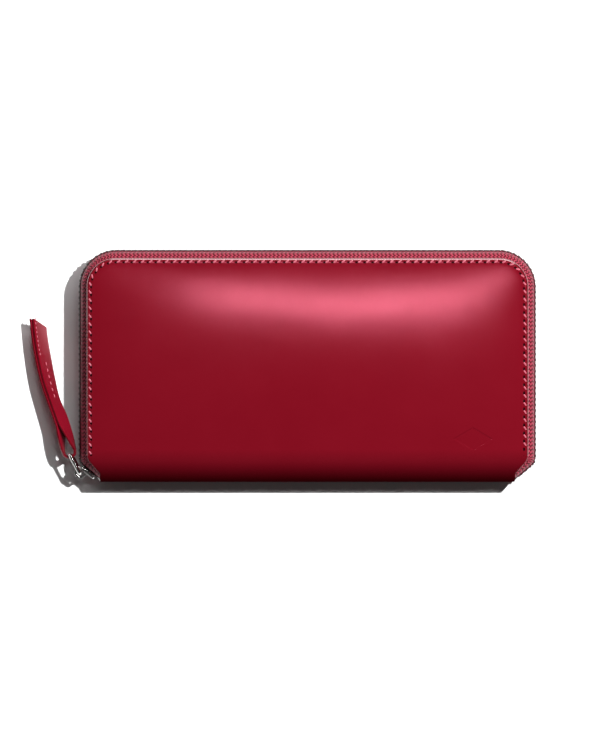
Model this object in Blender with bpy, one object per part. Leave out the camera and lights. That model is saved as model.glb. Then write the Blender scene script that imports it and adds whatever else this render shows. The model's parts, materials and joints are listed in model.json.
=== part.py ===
"""Zip-around long wallet lying on its back cover, unzipped with its covers closed.

Metres, +Z up. X runs along the long side, Y from the spine (-Y) to the zip mouth (+Y).
The origin is the middle of the outline, on the face that the wallet rests on.
"""
import math

import bmesh
import bpy
from mathutils import Matrix, Vector

MM = 0.001

# Driving dimensions
LENGTH = 195.0 * MM          # over the zip teeth
WIDTH = 99.0 * MM            # from the spine to the zip teeth
HEIGHT = 26.0 * MM           # closed thickness
GAP = 0.3 * MM               # clearance between pieces that touch
LEATHER = 1.2 * MM
BOARD = 0.6 * MM
LINING = 0.4 * MM
TAPE = 0.6 * MM
MID = HEIGHT / 2

# Edge of the wallet seen from above: rounded at the mouth, cut off diagonally at the spine
MOUTH_RADIUS = 16.0 * MM
LEAST_MOUTH_RADIUS = 4.0 * MM
TURN_RADIUS = 5.0 * MM
LEAST_TURN_RADIUS = 1.0 * MM
TURN = math.radians(50)      # how far the zip turns in towards the spine
TURN_Y = -41.5 * MM
TAIL_LENGTH = 10.2 * MM      # the zip's straight end, from the turn to the spine
MOUTH_STEPS = 6
TURN_STEPS = 3

# Covers and the spine between them
COVER_INSET = 4.0 * MM
COVER_FOOT = -40.2 * MM
EDGE_BEVEL = 0.35 * MM
BOARD_INSET = 7.5 * MM
LINING_INSET = 8.5 * MM
INNER_FOOT = -39.0 * MM
SPINE_RADIUS = 9.0 * MM
SPINE_START = COVER_FOOT - GAP
SPINE_HALF_LENGTH = 85.5 * MM
SPINE_STEPS = 8
HINGE_Y = -49.2 * MM

# Card pockets: four stepped strips on each cover
POCKET_HALF_LENGTH = 86.0 * MM
POCKET_FOOT = -40.0 * MM
POCKET_TOPS = [30.0 * MM, 18.0 * MM, 6.0 * MM, -6.0 * MM]
POCKET_STACK = 3.1 * MM      # underside of the first strip
POCKET_PITCH = 0.7 * MM

# Bill gussets: four folded leaves at each end of each bill compartment
LEAF = 0.4 * MM
LEAF_INNER_X = 80.5 * MM
LEAF_OUTER_X = 89.5 * MM
LEAF_LEVELS = [6.15 * MM, 7.25 * MM, 8.35 * MM, 9.45 * MM]
GUSSET_Y = (-38.0 * MM, 30.0 * MM)

# Coin pocket in the middle
COIN_WALL = 0.5 * MM
COIN_LEVEL = 10.2 * MM       # underside of the lower wall
COIN_HALF_LENGTH = 86.0 * MM
COIN_FOOT = -38.0 * MM
COIN_MOUTH = 30.0 * MM
COIN_GUSSET_INSET = 2.0 * MM
COIN_TAPE_X = (-84.0 * MM, 84.0 * MM)
COIN_TAPE_Y = (30.3 * MM, 30.8 * MM)
COIN_TAPE_LEVELS = (10.3 * MM, 12.1 * MM)
COIN_ROWS_X = (-80.0 * MM, 71.5 * MM)
COIN_ROWS_Y = (29.9 * MM, 31.1 * MM)
COIN_ROW_LEVELS = (12.4 * MM, 12.9 * MM)
COIN_SLIDER = (72.0 * MM, 30.5 * MM)
COIN_PIVOT_Y = 32.95 * MM
TAB_LENGTH = 13.0 * MM
TAB_TAPER = 3.0 * MM
TAB_HALF_WIDTH = 1.8 * MM
TAB_END_HALF_WIDTH = 1.2 * MM
TAB_HALF_THICKNESS = 0.45 * MM
SLOT_LENGTH = 4.0 * MM
SLOT_HALF_WIDTH = 1.0 * MM

# Main zip: section of a tape and of a tooth row, as (inset, height above the middle)
TAPE_OUTER = [(0.8, 2.5), (0.7, 5.0), (1.3, 8.0), (2.6, 10.3), (4.0, 11.4), (5.5, 11.5)]
TAPE_INNER = [(5.5, 10.9), (4.2, 10.8), (3.0, 9.8), (1.9, 7.7), (1.3, 5.0), (1.4, 2.5)]
TOOTH_ROW = [(0.0, 0.6), (0.0, 2.2), (2.0, 2.2), (2.0, 0.6)]
# Stops beyond the ends of the rows: spans along the zip, outwards and from the middle
STOP_ALONG = (-1.7 * MM, -GAP)
STOP_OUT = (-2.2 * MM, 0.2 * MM)
STOP_HEIGHT = (0.6 * MM, 2.2 * MM)

# Main slider, on the straight end of the zip: nose up the left side, bridge outwards
SLIDER_FROM_TURN = 4.3 * MM
SLIDER_TAIL = -5.0 * MM
SLIDER_NOSE = 3.2 * MM
SLIDER_HALF_WIDTH = 3.9 * MM
PLATE = 0.9 * MM
PLATE_OUT = 0.4 * MM
PLATE_IN = -3.4 * MM
PIVOT_ALONG = 1.0 * MM
PIVOT_OUT = 3.0 * MM

# Pull: a wire bail and a folded leather strap
WIRE = 0.55 * MM
BAIL_HALF_HEIGHT = 4.8 * MM
BAIL_CORNER = 1.5 * MM
BAIL_FAR = Vector((-101.2 * MM, -37.8 * MM, MID))
EYE_INNER = 0.9 * MM
EYE_OUTER = 2.0 * MM
STRAP_THICKNESS = 2.2 * MM
STRAP_LEAN = math.radians(28)
# Along the strap: x, y, height of its middle, half its width, share of the full lean
STRAP_ROUTE = [
    (-101.8, -36.4, 13.0, 3.0, 0.0),
    (-103.9, -27.5, 12.1, 3.9, 0.7),
    (-108.6, -14.7, 9.8, 4.4, 0.9),
    (-112.2, -1.9, 7.6, 5.0, 1.0),
    (-114.4, 10.0, 6.0, 5.0, 1.0),
    (-115.7, 20.3, 5.3, 5.0, 1.0),
]
STRAP_STEPS = 3

LEFT_ALONG = Vector((-math.sin(TURN), math.cos(TURN), 0))
LEFT_OUT = Vector((-math.cos(TURN), -math.sin(TURN), 0))


# ---------------------------------------------------------------- materials

def material(name, colour, roughness, metallic=0.0):
    made = bpy.data.materials.new(name)
    made.use_nodes = True
    shader = made.node_tree.nodes["Principled BSDF"]
    shader.inputs["Base Color"].default_value = (*colour, 1.0)
    shader.inputs["Roughness"].default_value = roughness
    shader.inputs["Metallic"].default_value = metallic
    made.diffuse_color = (*colour, 1.0)
    return made


def make_materials():
    return {
        "leather": material("red_leather", (0.36, 0.012, 0.032), 0.25),
        "pocket": material("pocket_leather", (0.30, 0.012, 0.03), 0.4),
        "lining": material("lining_fabric", (0.24, 0.014, 0.028), 0.8),
        "board": material("stiffener_board", (0.42, 0.36, 0.28), 0.9),
        "tape": material("zip_tape", (0.33, 0.010, 0.03), 0.75),
        "steel": material("plated_zip_metal", (0.78, 0.77, 0.75), 0.22, 1.0),
    }


# ---------------------------------------------------------------- outlines

def arc(centre, radius, start, end, steps):
    """Points along a circle, from one angle to another in degrees."""
    angles = [math.radians(start + (end - start) * i / steps) for i in range(steps + 1)]
    return [(centre[0] + radius * math.cos(a), centre[1] + radius * math.sin(a)) for a in angles]


def mouth_arc(inset):
    radius = max(MOUTH_RADIUS - inset, LEAST_MOUTH_RADIUS)
    centre = (-LENGTH / 2 + inset + radius, WIDTH / 2 - inset - radius)
    return arc(centre, radius, 180, 90, MOUTH_STEPS)


def mirrored(points):
    return points + [(-x, y) for x, y in reversed(points)]


def zip_rail(inset):
    """The zip's route: left spine end, left side, mouth, right side, right spine end."""
    turn = (-LENGTH / 2 + inset, TURN_Y + inset * math.tan(TURN / 2))
    radius = max(TURN_RADIUS - inset, LEAST_TURN_RADIUS)
    reach = radius * math.tan(TURN / 2)
    end = Vector((-LENGTH / 2, TURN_Y, 0)) - LEFT_ALONG * TAIL_LENGTH - LEFT_OUT * inset
    bend = arc((turn[0] + radius, turn[1] + reach), radius, 180 + math.degrees(TURN), 180, TURN_STEPS)
    return mirrored([(end.x, end.y)] + bend + mouth_arc(inset))


def cover_outline(inset, foot):
    """A cover's outline: square at the spine, rounded at the mouth."""
    return mirrored([(-LENGTH / 2 + inset, foot)] + mouth_arc(inset))


def ribbon(points, thickness):
    """The outline of a strip of even thickness along an open line, mitred at its bends."""
    sides = ([], [])
    for i, point in enumerate(points):
        here = Vector(point)
        before = (here - Vector(points[i - 1])).normalized() if i else None
        after = (Vector(points[i + 1]) - here).normalized() if i + 1 < len(points) else None
        before = before or after
        after = after or before
        normals = [Vector((-d.y, d.x)) for d in (before, after)]
        mitre = (normals[0] + normals[1]).normalized()
        reach = thickness / 2 / mitre.dot(normals[0])
        sides[0].append(tuple(here + mitre * reach))
        sides[1].append(tuple(here - mitre * reach))
    return sides[0] + list(reversed(sides[1]))


# ---------------------------------------------------------------- solids

def finish_mesh(name, build, look, smooth=30):
    """Closes a bmesh into an object whose faces point out."""
    bmesh.ops.recalc_face_normals(build, faces=build.faces)
    mesh = bpy.data.meshes.new(name)
    build.to_mesh(mesh)
    build.free()
    mesh.materials.append(look)
    mesh.shade_smooth()
    mesh.set_sharp_from_angle(angle=math.radians(smooth))
    made = bpy.data.objects.new(name, mesh)
    bpy.context.collection.objects.link(made)
    return made


def loft(name, rings, look):
    """A closed solid through rings that all have the same number of points."""
    build = bmesh.new()
    loops = [[build.verts.new(point) for point in ring] for ring in rings]
    count = len(loops[0])
    for first, second in zip(loops, loops[1:]):
        for i in range(count):
            j = (i + 1) % count
            build.faces.new((first[i], first[j], second[j], second[i]))
    for end in (loops[0], loops[-1]):
        build.faces.new(end)
    return finish_mesh(name, build, look)


def prism(name, outline, axis, low, high, look):
    """An outline extruded along one axis; the outline gives the other two in order."""
    order = {"X": (2, 0, 1), "Y": (0, 2, 1), "Z": (0, 1, 2)}[axis]
    rings = [[Vector([(u, v, level)[k] for k in order]) for u, v in outline] for level in (low, high)]
    return loft(name, rings, look)


def block(name, x, y, z, look):
    outline = [(x[0], y[0]), (x[1], y[0]), (x[1], y[1]), (x[0], y[1])]
    return prism(name, outline, "Z", z[0], z[1], look)


def oriented_block(name, base, along, out, spans, look):
    """A block in a slider's own directions: along the zip, outwards and up."""
    (a0, a1), (b0, b1), (z0, z1) = spans
    corners = [(a0, b0), (a1, b0), (a1, b1), (a0, b1)]
    rings = [[base + along * a + out * b + Vector((0, 0, z)) for a, b in corners] for z in (z0, z1)]
    return loft(name, rings, look)


def swept_section(name, section, side, look):
    """A section carried along the zip's route; side is 1 for the front half, -1 for the back."""
    rails = [zip_rail(inset * MM) for inset, _ in section]
    heights = [MID + side * height * MM for _, height in section]
    rings = [
        [Vector((*rail[i], height)) for rail, height in zip(rails, heights)]
        for i in range(len(rails[0]))
    ]
    return loft(name, rings, look)


def joined(name, pieces, look):
    """One closed solid from overlapping blocks."""
    base = pieces[0]
    base.name = name
    base.data.name = name
    for index, piece in enumerate(pieces[1:]):
        combine(base, piece, "UNION", f"join_{index}")
    base.data.materials[0] = look
    return base


def combine(target, tool, operation, label):
    tool.hide_render = True
    tool.display_type = "WIRE"
    step = target.modifiers.new(label, "BOOLEAN")
    step.operation = operation
    step.solver = "EXACT"
    step.object = tool


def frame(name, place):
    """An empty on a joint's axis that a moving group hangs from."""
    made = bpy.data.objects.new(name, None)
    made.location = place
    made.empty_display_size = 0.01
    bpy.context.collection.objects.link(made)
    return made


def hang(pieces, parent):
    """Moves the pieces' origins onto their frame and parents them, with their cutters."""
    shift = Matrix.Translation(-parent.location)
    for piece in pieces:
        tools = [step.object for step in piece.modifiers if step.type == "BOOLEAN"]
        for item in [piece] + tools:
            if item.type == "MESH":
                item.data.transform(shift)
            else:
                item.location = -parent.location
            item.parent = parent


# ---------------------------------------------------------------- covers and spine

def level(height, side):
    """A height measured from the outside of a cover, for the back (-1) or the front (1)."""
    return height if side < 0 else HEIGHT - height


def plate(name, outline, height, thickness, side, look):
    low, high = sorted((level(height, side), level(height + thickness, side)))
    return prism(name, outline, "Z", low, high, look)


def make_cover(word, side, looks):
    leather = plate(f"{word}_leather", cover_outline(COVER_INSET, COVER_FOOT), 0, LEATHER, side,
                    looks["leather"])
    bevel = leather.modifiers.new("soft_edge", "BEVEL")
    bevel.width = EDGE_BEVEL
    bevel.segments = 2
    bevel.limit_method = "ANGLE"
    bevel.angle_limit = math.radians(60)
    board_level = LEATHER + GAP
    board = plate(f"{word}_board", cover_outline(BOARD_INSET, INNER_FOOT), board_level, BOARD, side,
                  looks["board"])
    lining_level = board_level + BOARD + GAP
    lining = plate(f"{word}_lining", cover_outline(LINING_INSET, INNER_FOOT), lining_level, LINING,
                   side, looks["lining"])
    return [leather, board, lining] + make_pockets(word, side, looks)


def make_pockets(word, side, looks):
    made = []
    for index, top in enumerate(POCKET_TOPS):
        half = POCKET_HALF_LENGTH
        outline = [(-half, POCKET_FOOT), (half, POCKET_FOOT), (half, top), (-half, top)]
        height = POCKET_STACK + index * POCKET_PITCH
        made.append(plate(f"{word}_card_pocket_{index + 1}", outline, height, LINING, side,
                          looks["pocket"]))
    return made


def spine_line(offset):
    """The spine's C in (y, z), inset from its outer face."""
    radius = SPINE_RADIUS - offset
    top = arc((SPINE_START, HEIGHT - SPINE_RADIUS), radius, 90, 180, SPINE_STEPS)
    bottom = arc((SPINE_START, SPINE_RADIUS), radius, 180, 270, SPINE_STEPS)
    return top + bottom


def make_spine(looks):
    made = []
    for name, offset, thickness, look in (
        ("spine_leather", 0.0, LEATHER, "leather"),
        ("spine_lining", LEATHER + GAP, LINING, "lining"),
    ):
        outline = spine_line(offset) + list(reversed(spine_line(offset + thickness)))
        made.append(prism(name, outline, "X", -SPINE_HALF_LENGTH, SPINE_HALF_LENGTH, looks[look]))
    return made


def make_gusset(name, x_side, side, looks):
    """Four leaves folded one on the other between a cover and the coin pocket."""
    line = []
    for index, height in enumerate(LEAF_LEVELS):
        ends = [LEAF_OUTER_X, LEAF_INNER_X] if index % 2 == 0 else [LEAF_INNER_X, LEAF_OUTER_X]
        line += [(x_side * x, level(height, side)) for x in ends]
    return prism(name, ribbon(line, LEAF), "Y", *GUSSET_Y, looks["lining"])


# ---------------------------------------------------------------- zips

def make_zip_half(word, side, looks):
    tape = swept_section(f"{word}_zip_tape", TAPE_OUTER + TAPE_INNER, side, looks["tape"])
    row = swept_section(f"{word}_tooth_row", TOOTH_ROW, side, looks["steel"])
    along = Vector((-LEFT_ALONG.x, LEFT_ALONG.y, 0))
    out = Vector((-LEFT_OUT.x, LEFT_OUT.y, 0))
    base = Vector((LENGTH / 2, TURN_Y, MID)) - along * TAIL_LENGTH
    spans = (STOP_ALONG, STOP_OUT, sorted(side * height for height in STOP_HEIGHT))
    stop = oriented_block(f"{word}_end_stop", base, along, out, spans, looks["steel"])
    return tape, row, stop


def make_start_stop(looks):
    base = Vector((-LENGTH / 2, TURN_Y, MID)) - LEFT_ALONG * TAIL_LENGTH
    spans = (STOP_ALONG, STOP_OUT, (-STOP_HEIGHT[1], STOP_HEIGHT[1]))
    return oriented_block("zip_start_stop", base, LEFT_ALONG, LEFT_OUT, spans, looks["steel"])


def slider_shape(name, base, along, out, size, look):
    """Two plates, the wedge between them, the flanges and the bridge, as one casting."""
    tail, nose, half, bridge = size["tail"], size["nose"], size["half_width"], size["bridge"]
    low, high, thick = size["inner"], size["outer"], size["plate"]
    overlap = 0.05 * MM
    width = (-half, half)
    spans = [
        ((tail, nose), (high, high + thick), width),
        ((tail, nose), (low, low + thick), width),
        (size["wedge"], (low + thick - overlap, high + overlap), size["wedge_height"]),
    ]
    if size["flange"]:
        reach, rim = size["flange"]
        for side in (-1, 1):
            rim_span = tuple(sorted((side * half, side * (half - rim))))
            spans.append(((tail, nose), (high - reach, high + overlap), rim_span))
            spans.append(((tail, nose), (low + thick - overlap, low + thick + reach), rim_span))
    foot = high + thick - overlap
    centre, reach, leg, top, roof, wide = bridge
    width = (-wide, wide)
    spans += [
        ((centre - reach, centre - reach + leg), (foot, top), width),
        ((centre + reach - leg, centre + reach), (foot, top), width),
        ((centre - reach, centre + reach), (top - roof, top), width),
    ]
    pieces = [
        oriented_block(f"{name}_block_{i}", base, along, out, span, look)
        for i, span in enumerate(spans)
    ]
    return joined(name, pieces, look)


def slider_base():
    return Vector((-LENGTH / 2, TURN_Y, MID)) - LEFT_ALONG * SLIDER_FROM_TURN


def bail_pivot():
    return slider_base() + LEFT_ALONG * PIVOT_ALONG + LEFT_OUT * PIVOT_OUT


def make_slider(looks):
    size = {
        "tail": SLIDER_TAIL, "nose": SLIDER_NOSE, "half_width": SLIDER_HALF_WIDTH,
        "inner": PLATE_IN, "outer": PLATE_OUT, "plate": PLATE,
        "wedge": (1.2 * MM, 2.8 * MM), "wedge_height": (-0.3 * MM, 0.3 * MM),
        "flange": (0.65 * MM, 0.8 * MM),
        "bridge": (PIVOT_ALONG, 2.2 * MM, 0.9 * MM, 4.7 * MM, 0.8 * MM, 1.4 * MM),
    }
    return slider_shape("zip_slider", slider_base(), LEFT_ALONG, LEFT_OUT, size, looks["steel"])


def make_coin_slider(looks):
    base = Vector((*COIN_SLIDER, MID))
    size = {
        "tail": -4.0 * MM, "nose": 4.0 * MM, "half_width": 1.9 * MM,
        "inner": -1.7 * MM, "outer": 1.0 * MM, "plate": 0.7 * MM,
        "wedge": (0.6 * MM, 2.6 * MM), "wedge_height": (-0.6 * MM, 0.6 * MM),
        "flange": None,
        "bridge": (0.0, 2.7 * MM, 1.2 * MM, 3.9 * MM, 0.7 * MM, 0.7 * MM),
    }
    along = Vector((1, 0, 0))
    return slider_shape("coin_slider", base, along, Vector((0, 1, 0)), size, looks["steel"])


# ---------------------------------------------------------------- pull

def make_bail(looks):
    """A wire loop through the bridge, standing on edge, with the strap on its far side."""
    pivot = bail_pivot()
    reach = (BAIL_FAR - pivot).length
    centres = [
        (reach - BAIL_CORNER, BAIL_HALF_HEIGHT - BAIL_CORNER, 90, 0),
        (reach - BAIL_CORNER, BAIL_CORNER - BAIL_HALF_HEIGHT, 0, -90),
        (BAIL_CORNER, BAIL_CORNER - BAIL_HALF_HEIGHT, -90, -180),
        (BAIL_CORNER, BAIL_HALF_HEIGHT - BAIL_CORNER, 180, 90),
    ]
    along = (BAIL_FAR - pivot).normalized()
    points = []
    for x, z, start, end in centres:
        for u, v in arc((x, z), BAIL_CORNER, start, end, 4):
            points.append(pivot + along * u + Vector((0, 0, v)))
    curve = bpy.data.curves.new("pull_bail", "CURVE")
    curve.dimensions = "3D"
    curve.bevel_depth = WIRE
    curve.bevel_resolution = 2
    spline = curve.splines.new("POLY")
    spline.points.add(len(points) - 1)
    for spot, point in zip(spline.points, points):
        spot.co = (*point, 1.0)
    spline.use_cyclic_u = True
    curve.materials.append(looks["steel"])
    made = bpy.data.objects.new("pull_bail", curve)
    bpy.context.collection.objects.link(made)
    return made


def strap_stations():
    """Middle, half width and lean along the strap, on a smooth curve through its route."""
    rows = [tuple(v * MM for v in row[:4]) + (row[4],) for row in STRAP_ROUTE]
    padded = [rows[0]] + rows + [rows[-1]]
    made = []
    for i in range(1, len(padded) - 2):
        p0, p1, p2, p3 = padded[i - 1:i + 3]
        for step in range(STRAP_STEPS):
            t = step / STRAP_STEPS
            made.append([
                0.5 * (2 * b + (c - a) * t + (2 * a - 5 * b + 4 * c - d) * t * t
                       + (3 * b - a - 3 * c + d) * t ** 3)
                for a, b, c, d in zip(p0, p1, p2, p3)
            ])
    made.append(list(rows[-1]))
    return made


def make_strap(looks):
    stations = strap_stations()
    middles = [Vector(s[:3]) for s in stations]
    rings = []
    for i, station in enumerate(stations):
        ahead = middles[min(i + 1, len(middles) - 1)] - middles[max(i - 1, 0)]
        along = Vector((ahead.x, ahead.y, 0)).normalized()
        left = Vector((-along.y, along.x, 0))
        lean = STRAP_LEAN * station[4]
        up = Vector((0, 0, math.cos(lean))) + left * math.sin(lean)
        face = left * math.cos(lean) - Vector((0, 0, math.sin(lean)))
        high = up * station[3]
        half = face * (STRAP_THICKNESS / 2)
        rings.append([middles[i] + high + half, middles[i] - high + half,
                      middles[i] - high - half, middles[i] + high - half])
    strap = loft("pull_strap", rings, looks["leather"])
    half = STRAP_ROUTE[0][3] * MM
    eye = round_bar("strap_eye", BAIL_FAR, EYE_OUTER, half, looks["leather"])
    hole = round_bar("strap_hole", BAIL_FAR, EYE_INNER, half + 2 * MM, looks["leather"])
    combine(strap, eye, "UNION", "eye")
    combine(strap, hole, "DIFFERENCE", "hole")
    return strap


def round_bar(name, centre, radius, half, look):
    points = arc((centre.x, centre.y), radius, 0, 360, 20)[:-1]
    return prism(name, points, "Z", centre.z - half, centre.z + half, look)


def make_coin_pull(looks):
    """A flat tab with a slot; its end bar lies under the coin slider's bridge."""
    x = COIN_SLIDER[0]
    half, tip = TAB_HALF_WIDTH, TAB_END_HALF_WIDTH
    end, shoulder = x - TAB_LENGTH, x - TAB_LENGTH + TAB_TAPER
    bar = x + TAB_HALF_THICKNESS
    outline = [(bar, MID - half), (bar, MID + half), (shoulder, MID + half),
               (end, MID + tip), (end, MID - tip), (shoulder, MID - half)]
    thick = (COIN_PIVOT_Y - TAB_HALF_THICKNESS, COIN_PIVOT_Y + TAB_HALF_THICKNESS)
    tab = prism("coin_pull", outline, "Y", *thick, looks["steel"])
    slot = block("coin_pull_slot", (x - SLOT_LENGTH, x - TAB_HALF_THICKNESS),
                 (COIN_PIVOT_Y - SLOT_LENGTH, COIN_PIVOT_Y + SLOT_LENGTH),
                 (MID - SLOT_HALF_WIDTH, MID + SLOT_HALF_WIDTH), looks["steel"])
    combine(tab, slot, "DIFFERENCE", "slot")
    return tab


# ---------------------------------------------------------------- coin pocket

def make_coin_pocket(looks):
    half = COIN_HALF_LENGTH
    outline = [(-half, COIN_FOOT), (half, COIN_FOOT), (half, COIN_MOUTH), (-half, COIN_MOUTH)]
    side_x = half - COIN_GUSSET_INSET
    mouth, foot = COIN_MOUTH - COIN_GUSSET_INSET, COIN_FOOT + COIN_GUSSET_INSET
    line = [(-side_x, mouth), (-side_x, foot), (side_x, foot), (side_x, mouth)]
    inside = COIN_LEVEL + COIN_WALL + GAP
    made = [prism("coin_gusset", ribbon(line, COIN_WALL), "Z", inside, HEIGHT - inside,
                  looks["lining"])]
    for word, side in (("back", -1), ("front", 1)):
        made.append(plate(f"coin_wall_{word}", outline, COIN_LEVEL, COIN_WALL, side, looks["pocket"]))
        tape_z = sorted(level(height, side) for height in COIN_TAPE_LEVELS)
        made.append(block(f"coin_tape_{word}", COIN_TAPE_X, COIN_TAPE_Y, tape_z, looks["tape"]))
        row_z = sorted(level(height, side) for height in COIN_ROW_LEVELS)
        made.append(block(f"coin_tooth_row_{word}", COIN_ROWS_X, COIN_ROWS_Y, row_z, looks["steel"]))
    return made


# ---------------------------------------------------------------- assembly

def build():
    for old in list(bpy.data.objects):
        bpy.data.objects.remove(old)
    looks = make_materials()
    hinge = Vector((0, HINGE_Y, MID))
    back = frame("back_frame", Vector((0, 0, 0)))
    divider = frame("divider_frame", hinge)
    front = frame("front_frame", hinge)

    back_zip = make_zip_half("back", -1, looks)
    front_zip = make_zip_half("front", 1, looks)
    gussets = {
        (word, hand): make_gusset(f"{word}_gusset_{hand}", x_side, side, looks)
        for word, side in (("back", -1), ("front", 1))
        for hand, x_side in (("left", -1), ("right", 1))
    }
    hang(make_cover("back", -1, looks) + list(back_zip) + make_spine(looks)
         + [gussets["back", "left"], gussets["back", "right"]], back)
    hang(make_coin_pocket(looks) + [make_start_stop(looks)]
         + [gussets["front", "left"], gussets["front", "right"]], divider)
    hang(make_cover("front", 1, looks) + list(front_zip), front)

    hang([make_slider(looks)], frame("slider_frame", slider_base()))
    hang([make_bail(looks)], frame("bail_frame", bail_pivot()))
    hang([make_strap(looks)], frame("strap_frame", BAIL_FAR))
    coin_place = Vector((COIN_SLIDER[0], COIN_PIVOT_Y, MID))
    hang([make_coin_slider(looks)], frame("coin_slider_frame", coin_place))
    hang([make_coin_pull(looks)], frame("coin_pull_frame", coin_place))


build()
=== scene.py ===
import json
import math

import bmesh
import bpy
import numpy as np
from mathutils import Matrix, Vector


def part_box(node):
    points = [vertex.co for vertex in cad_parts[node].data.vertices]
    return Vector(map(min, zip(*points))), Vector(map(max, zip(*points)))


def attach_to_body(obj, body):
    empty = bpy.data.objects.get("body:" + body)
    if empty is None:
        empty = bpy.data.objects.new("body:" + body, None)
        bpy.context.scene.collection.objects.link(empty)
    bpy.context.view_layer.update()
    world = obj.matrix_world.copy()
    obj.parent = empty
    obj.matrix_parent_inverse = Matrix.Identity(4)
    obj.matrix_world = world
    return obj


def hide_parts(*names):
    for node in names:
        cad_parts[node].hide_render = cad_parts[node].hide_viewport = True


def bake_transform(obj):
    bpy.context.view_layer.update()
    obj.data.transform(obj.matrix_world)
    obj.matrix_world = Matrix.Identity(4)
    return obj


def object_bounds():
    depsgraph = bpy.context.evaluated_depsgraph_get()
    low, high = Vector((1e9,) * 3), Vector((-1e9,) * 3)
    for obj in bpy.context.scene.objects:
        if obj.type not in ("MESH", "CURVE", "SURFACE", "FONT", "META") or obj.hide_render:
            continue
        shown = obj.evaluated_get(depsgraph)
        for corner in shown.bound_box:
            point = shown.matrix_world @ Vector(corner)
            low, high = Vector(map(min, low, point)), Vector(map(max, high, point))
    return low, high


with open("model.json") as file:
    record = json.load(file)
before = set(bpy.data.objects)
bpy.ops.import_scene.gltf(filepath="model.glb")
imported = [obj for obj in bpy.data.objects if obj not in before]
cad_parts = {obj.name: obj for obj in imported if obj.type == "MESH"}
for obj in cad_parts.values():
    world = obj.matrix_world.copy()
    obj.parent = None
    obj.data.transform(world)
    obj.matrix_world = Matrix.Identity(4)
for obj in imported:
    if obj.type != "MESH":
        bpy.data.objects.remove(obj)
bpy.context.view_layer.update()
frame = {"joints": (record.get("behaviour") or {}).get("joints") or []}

MM = 0.001
Z = Vector((0, 0, 1))

# Places read from the frame
ROW_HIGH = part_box("front_tooth_row")[1]
COVER_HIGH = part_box("front_leather")[1]
SPINE_LOW, SPINE_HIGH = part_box("spine_leather")
HALF_LENGTH = ROW_HIGH.x
MOUTH_Y = ROW_HIGH.y
HEIGHT = COVER_HIGH.z
MID = HEIGHT / 2
SPINE_Y = SPINE_LOW.y
SPINE_HALF = SPINE_HIGH.x
SPINE_START = SPINE_HIGH.y
COVER_INSET = HALF_LENGTH - COVER_HIGH.x
JOINTS = {joint["name"]: joint for joint in frame["joints"]}

# The zip's route seen from above, the same as in the CAD
MOUTH_RADIUS = 16.0 * MM
LEAST_MOUTH_RADIUS = 4.0 * MM
TURN_RADIUS = 5.0 * MM
TURN = math.radians(50)
TURN_Y = -41.5 * MM
TAIL_LENGTH = 10.2 * MM
LEFT_ALONG = Vector((-math.sin(TURN), math.cos(TURN), 0))
LEFT_OUT = Vector((-math.cos(TURN), -math.sin(TURN), 0))

# Cover leather
LEATHER = 1.2 * MM
SPINE_RADIUS = 9.0 * MM
CROWN = 2.5 * MM
MOUTH_DROP = 0.2 * MM
END_DROP = 0.1 * MM
EDGE_PINCH = 0.25 * MM
PINCH_REACH = 3.0 * MM
EDGE_ROUND = 0.35 * MM
EDGE_DROP = 0.25 * MM
RIM = 0.95 * MM                                  # a flat facet round the cover's edge
RIM_BLEND = 0.15 * MM
RIM_SLOPE = 0.3
CORNER_SLOPE = 0.85
SEAM_INSET = 1.45 * MM
SEAM_WIDTH = 0.45 * MM
SEAM_DEPTH = 0.22 * MM
STITCH_PITCH = 3.4 * MM
STITCH_LENGTH = 2.35 * MM
STITCH_RADIUS = 0.3 * MM
STITCH_SLANT = math.radians(37)
STITCH_LIFT = 0.14 * MM
STITCH_START = STITCH_PITCH / 2 - 0.6 * MM
HOLE_SIZE = (0.75 * MM, 0.45 * MM)
HOLE_INSET = 1.8 * MM
STITCH_END_Y = -38.0 * MM
# How far from its edge the cover's mesh has rows of points
EDGE_ROWS = [value * MM for value in (0, 0.08, 0.18, 0.3, 0.5, 0.75, 0.9, 1.05, 1.25, 1.45, 1.65,
                                      1.9, 2.2, 2.6, 3.2, 4.0, 5.2, 7.0)]

# A plain pressed mark near the lower right corner, the same on both covers
MARK = (70.0 * MM, -31.0 * MM)
MARK_SIZE = (8.5 * MM, 5.0 * MM)

# Zip
TOOTH_PITCH = 2.4 * MM
TOOTH_SIZE = (1.25 * MM, 2.3 * MM, 2.0 * MM)     # along the zip, through it, across it
TOOTH_INSET = 1.15 * MM
TOOTH_RISE = 1.5 * MM                            # of a row's middle, above or below the wallet's
BEAD_INSET = 0.95 * MM
BEAD_RISE = 2.3 * MM
BEAD_RADIUS = 0.5 * MM
BEAD_SIDES = 8


# ---------------------------------------------------------------- camera, lights, floor

def make_camera():
    data = bpy.data.cameras.new("camera")
    data.lens = 200
    data.sensor_width = 36
    data.clip_end = 20
    camera = bpy.data.objects.new("camera", data)
    view_height = 0.3166
    distance = view_height * data.lens / data.sensor_width
    camera.location = (-3.2 * MM, -2.3 * MM, MID + distance)
    bpy.context.scene.collection.objects.link(camera)
    bpy.context.scene.camera = camera


def area_light(name, place, aim, size, power, mirrored=True):
    data = bpy.data.lights.new(name, "AREA")
    data.shape = "RECTANGLE"
    data.size, data.size_y = size
    data.energy = power
    light = bpy.data.objects.new(name, data)
    light.location = place
    light.rotation_euler = (Vector(aim) - Vector(place)).to_track_quat("-Z", "Y").to_euler()
    light.visible_glossy = mirrored
    bpy.context.scene.collection.objects.link(light)


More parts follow.
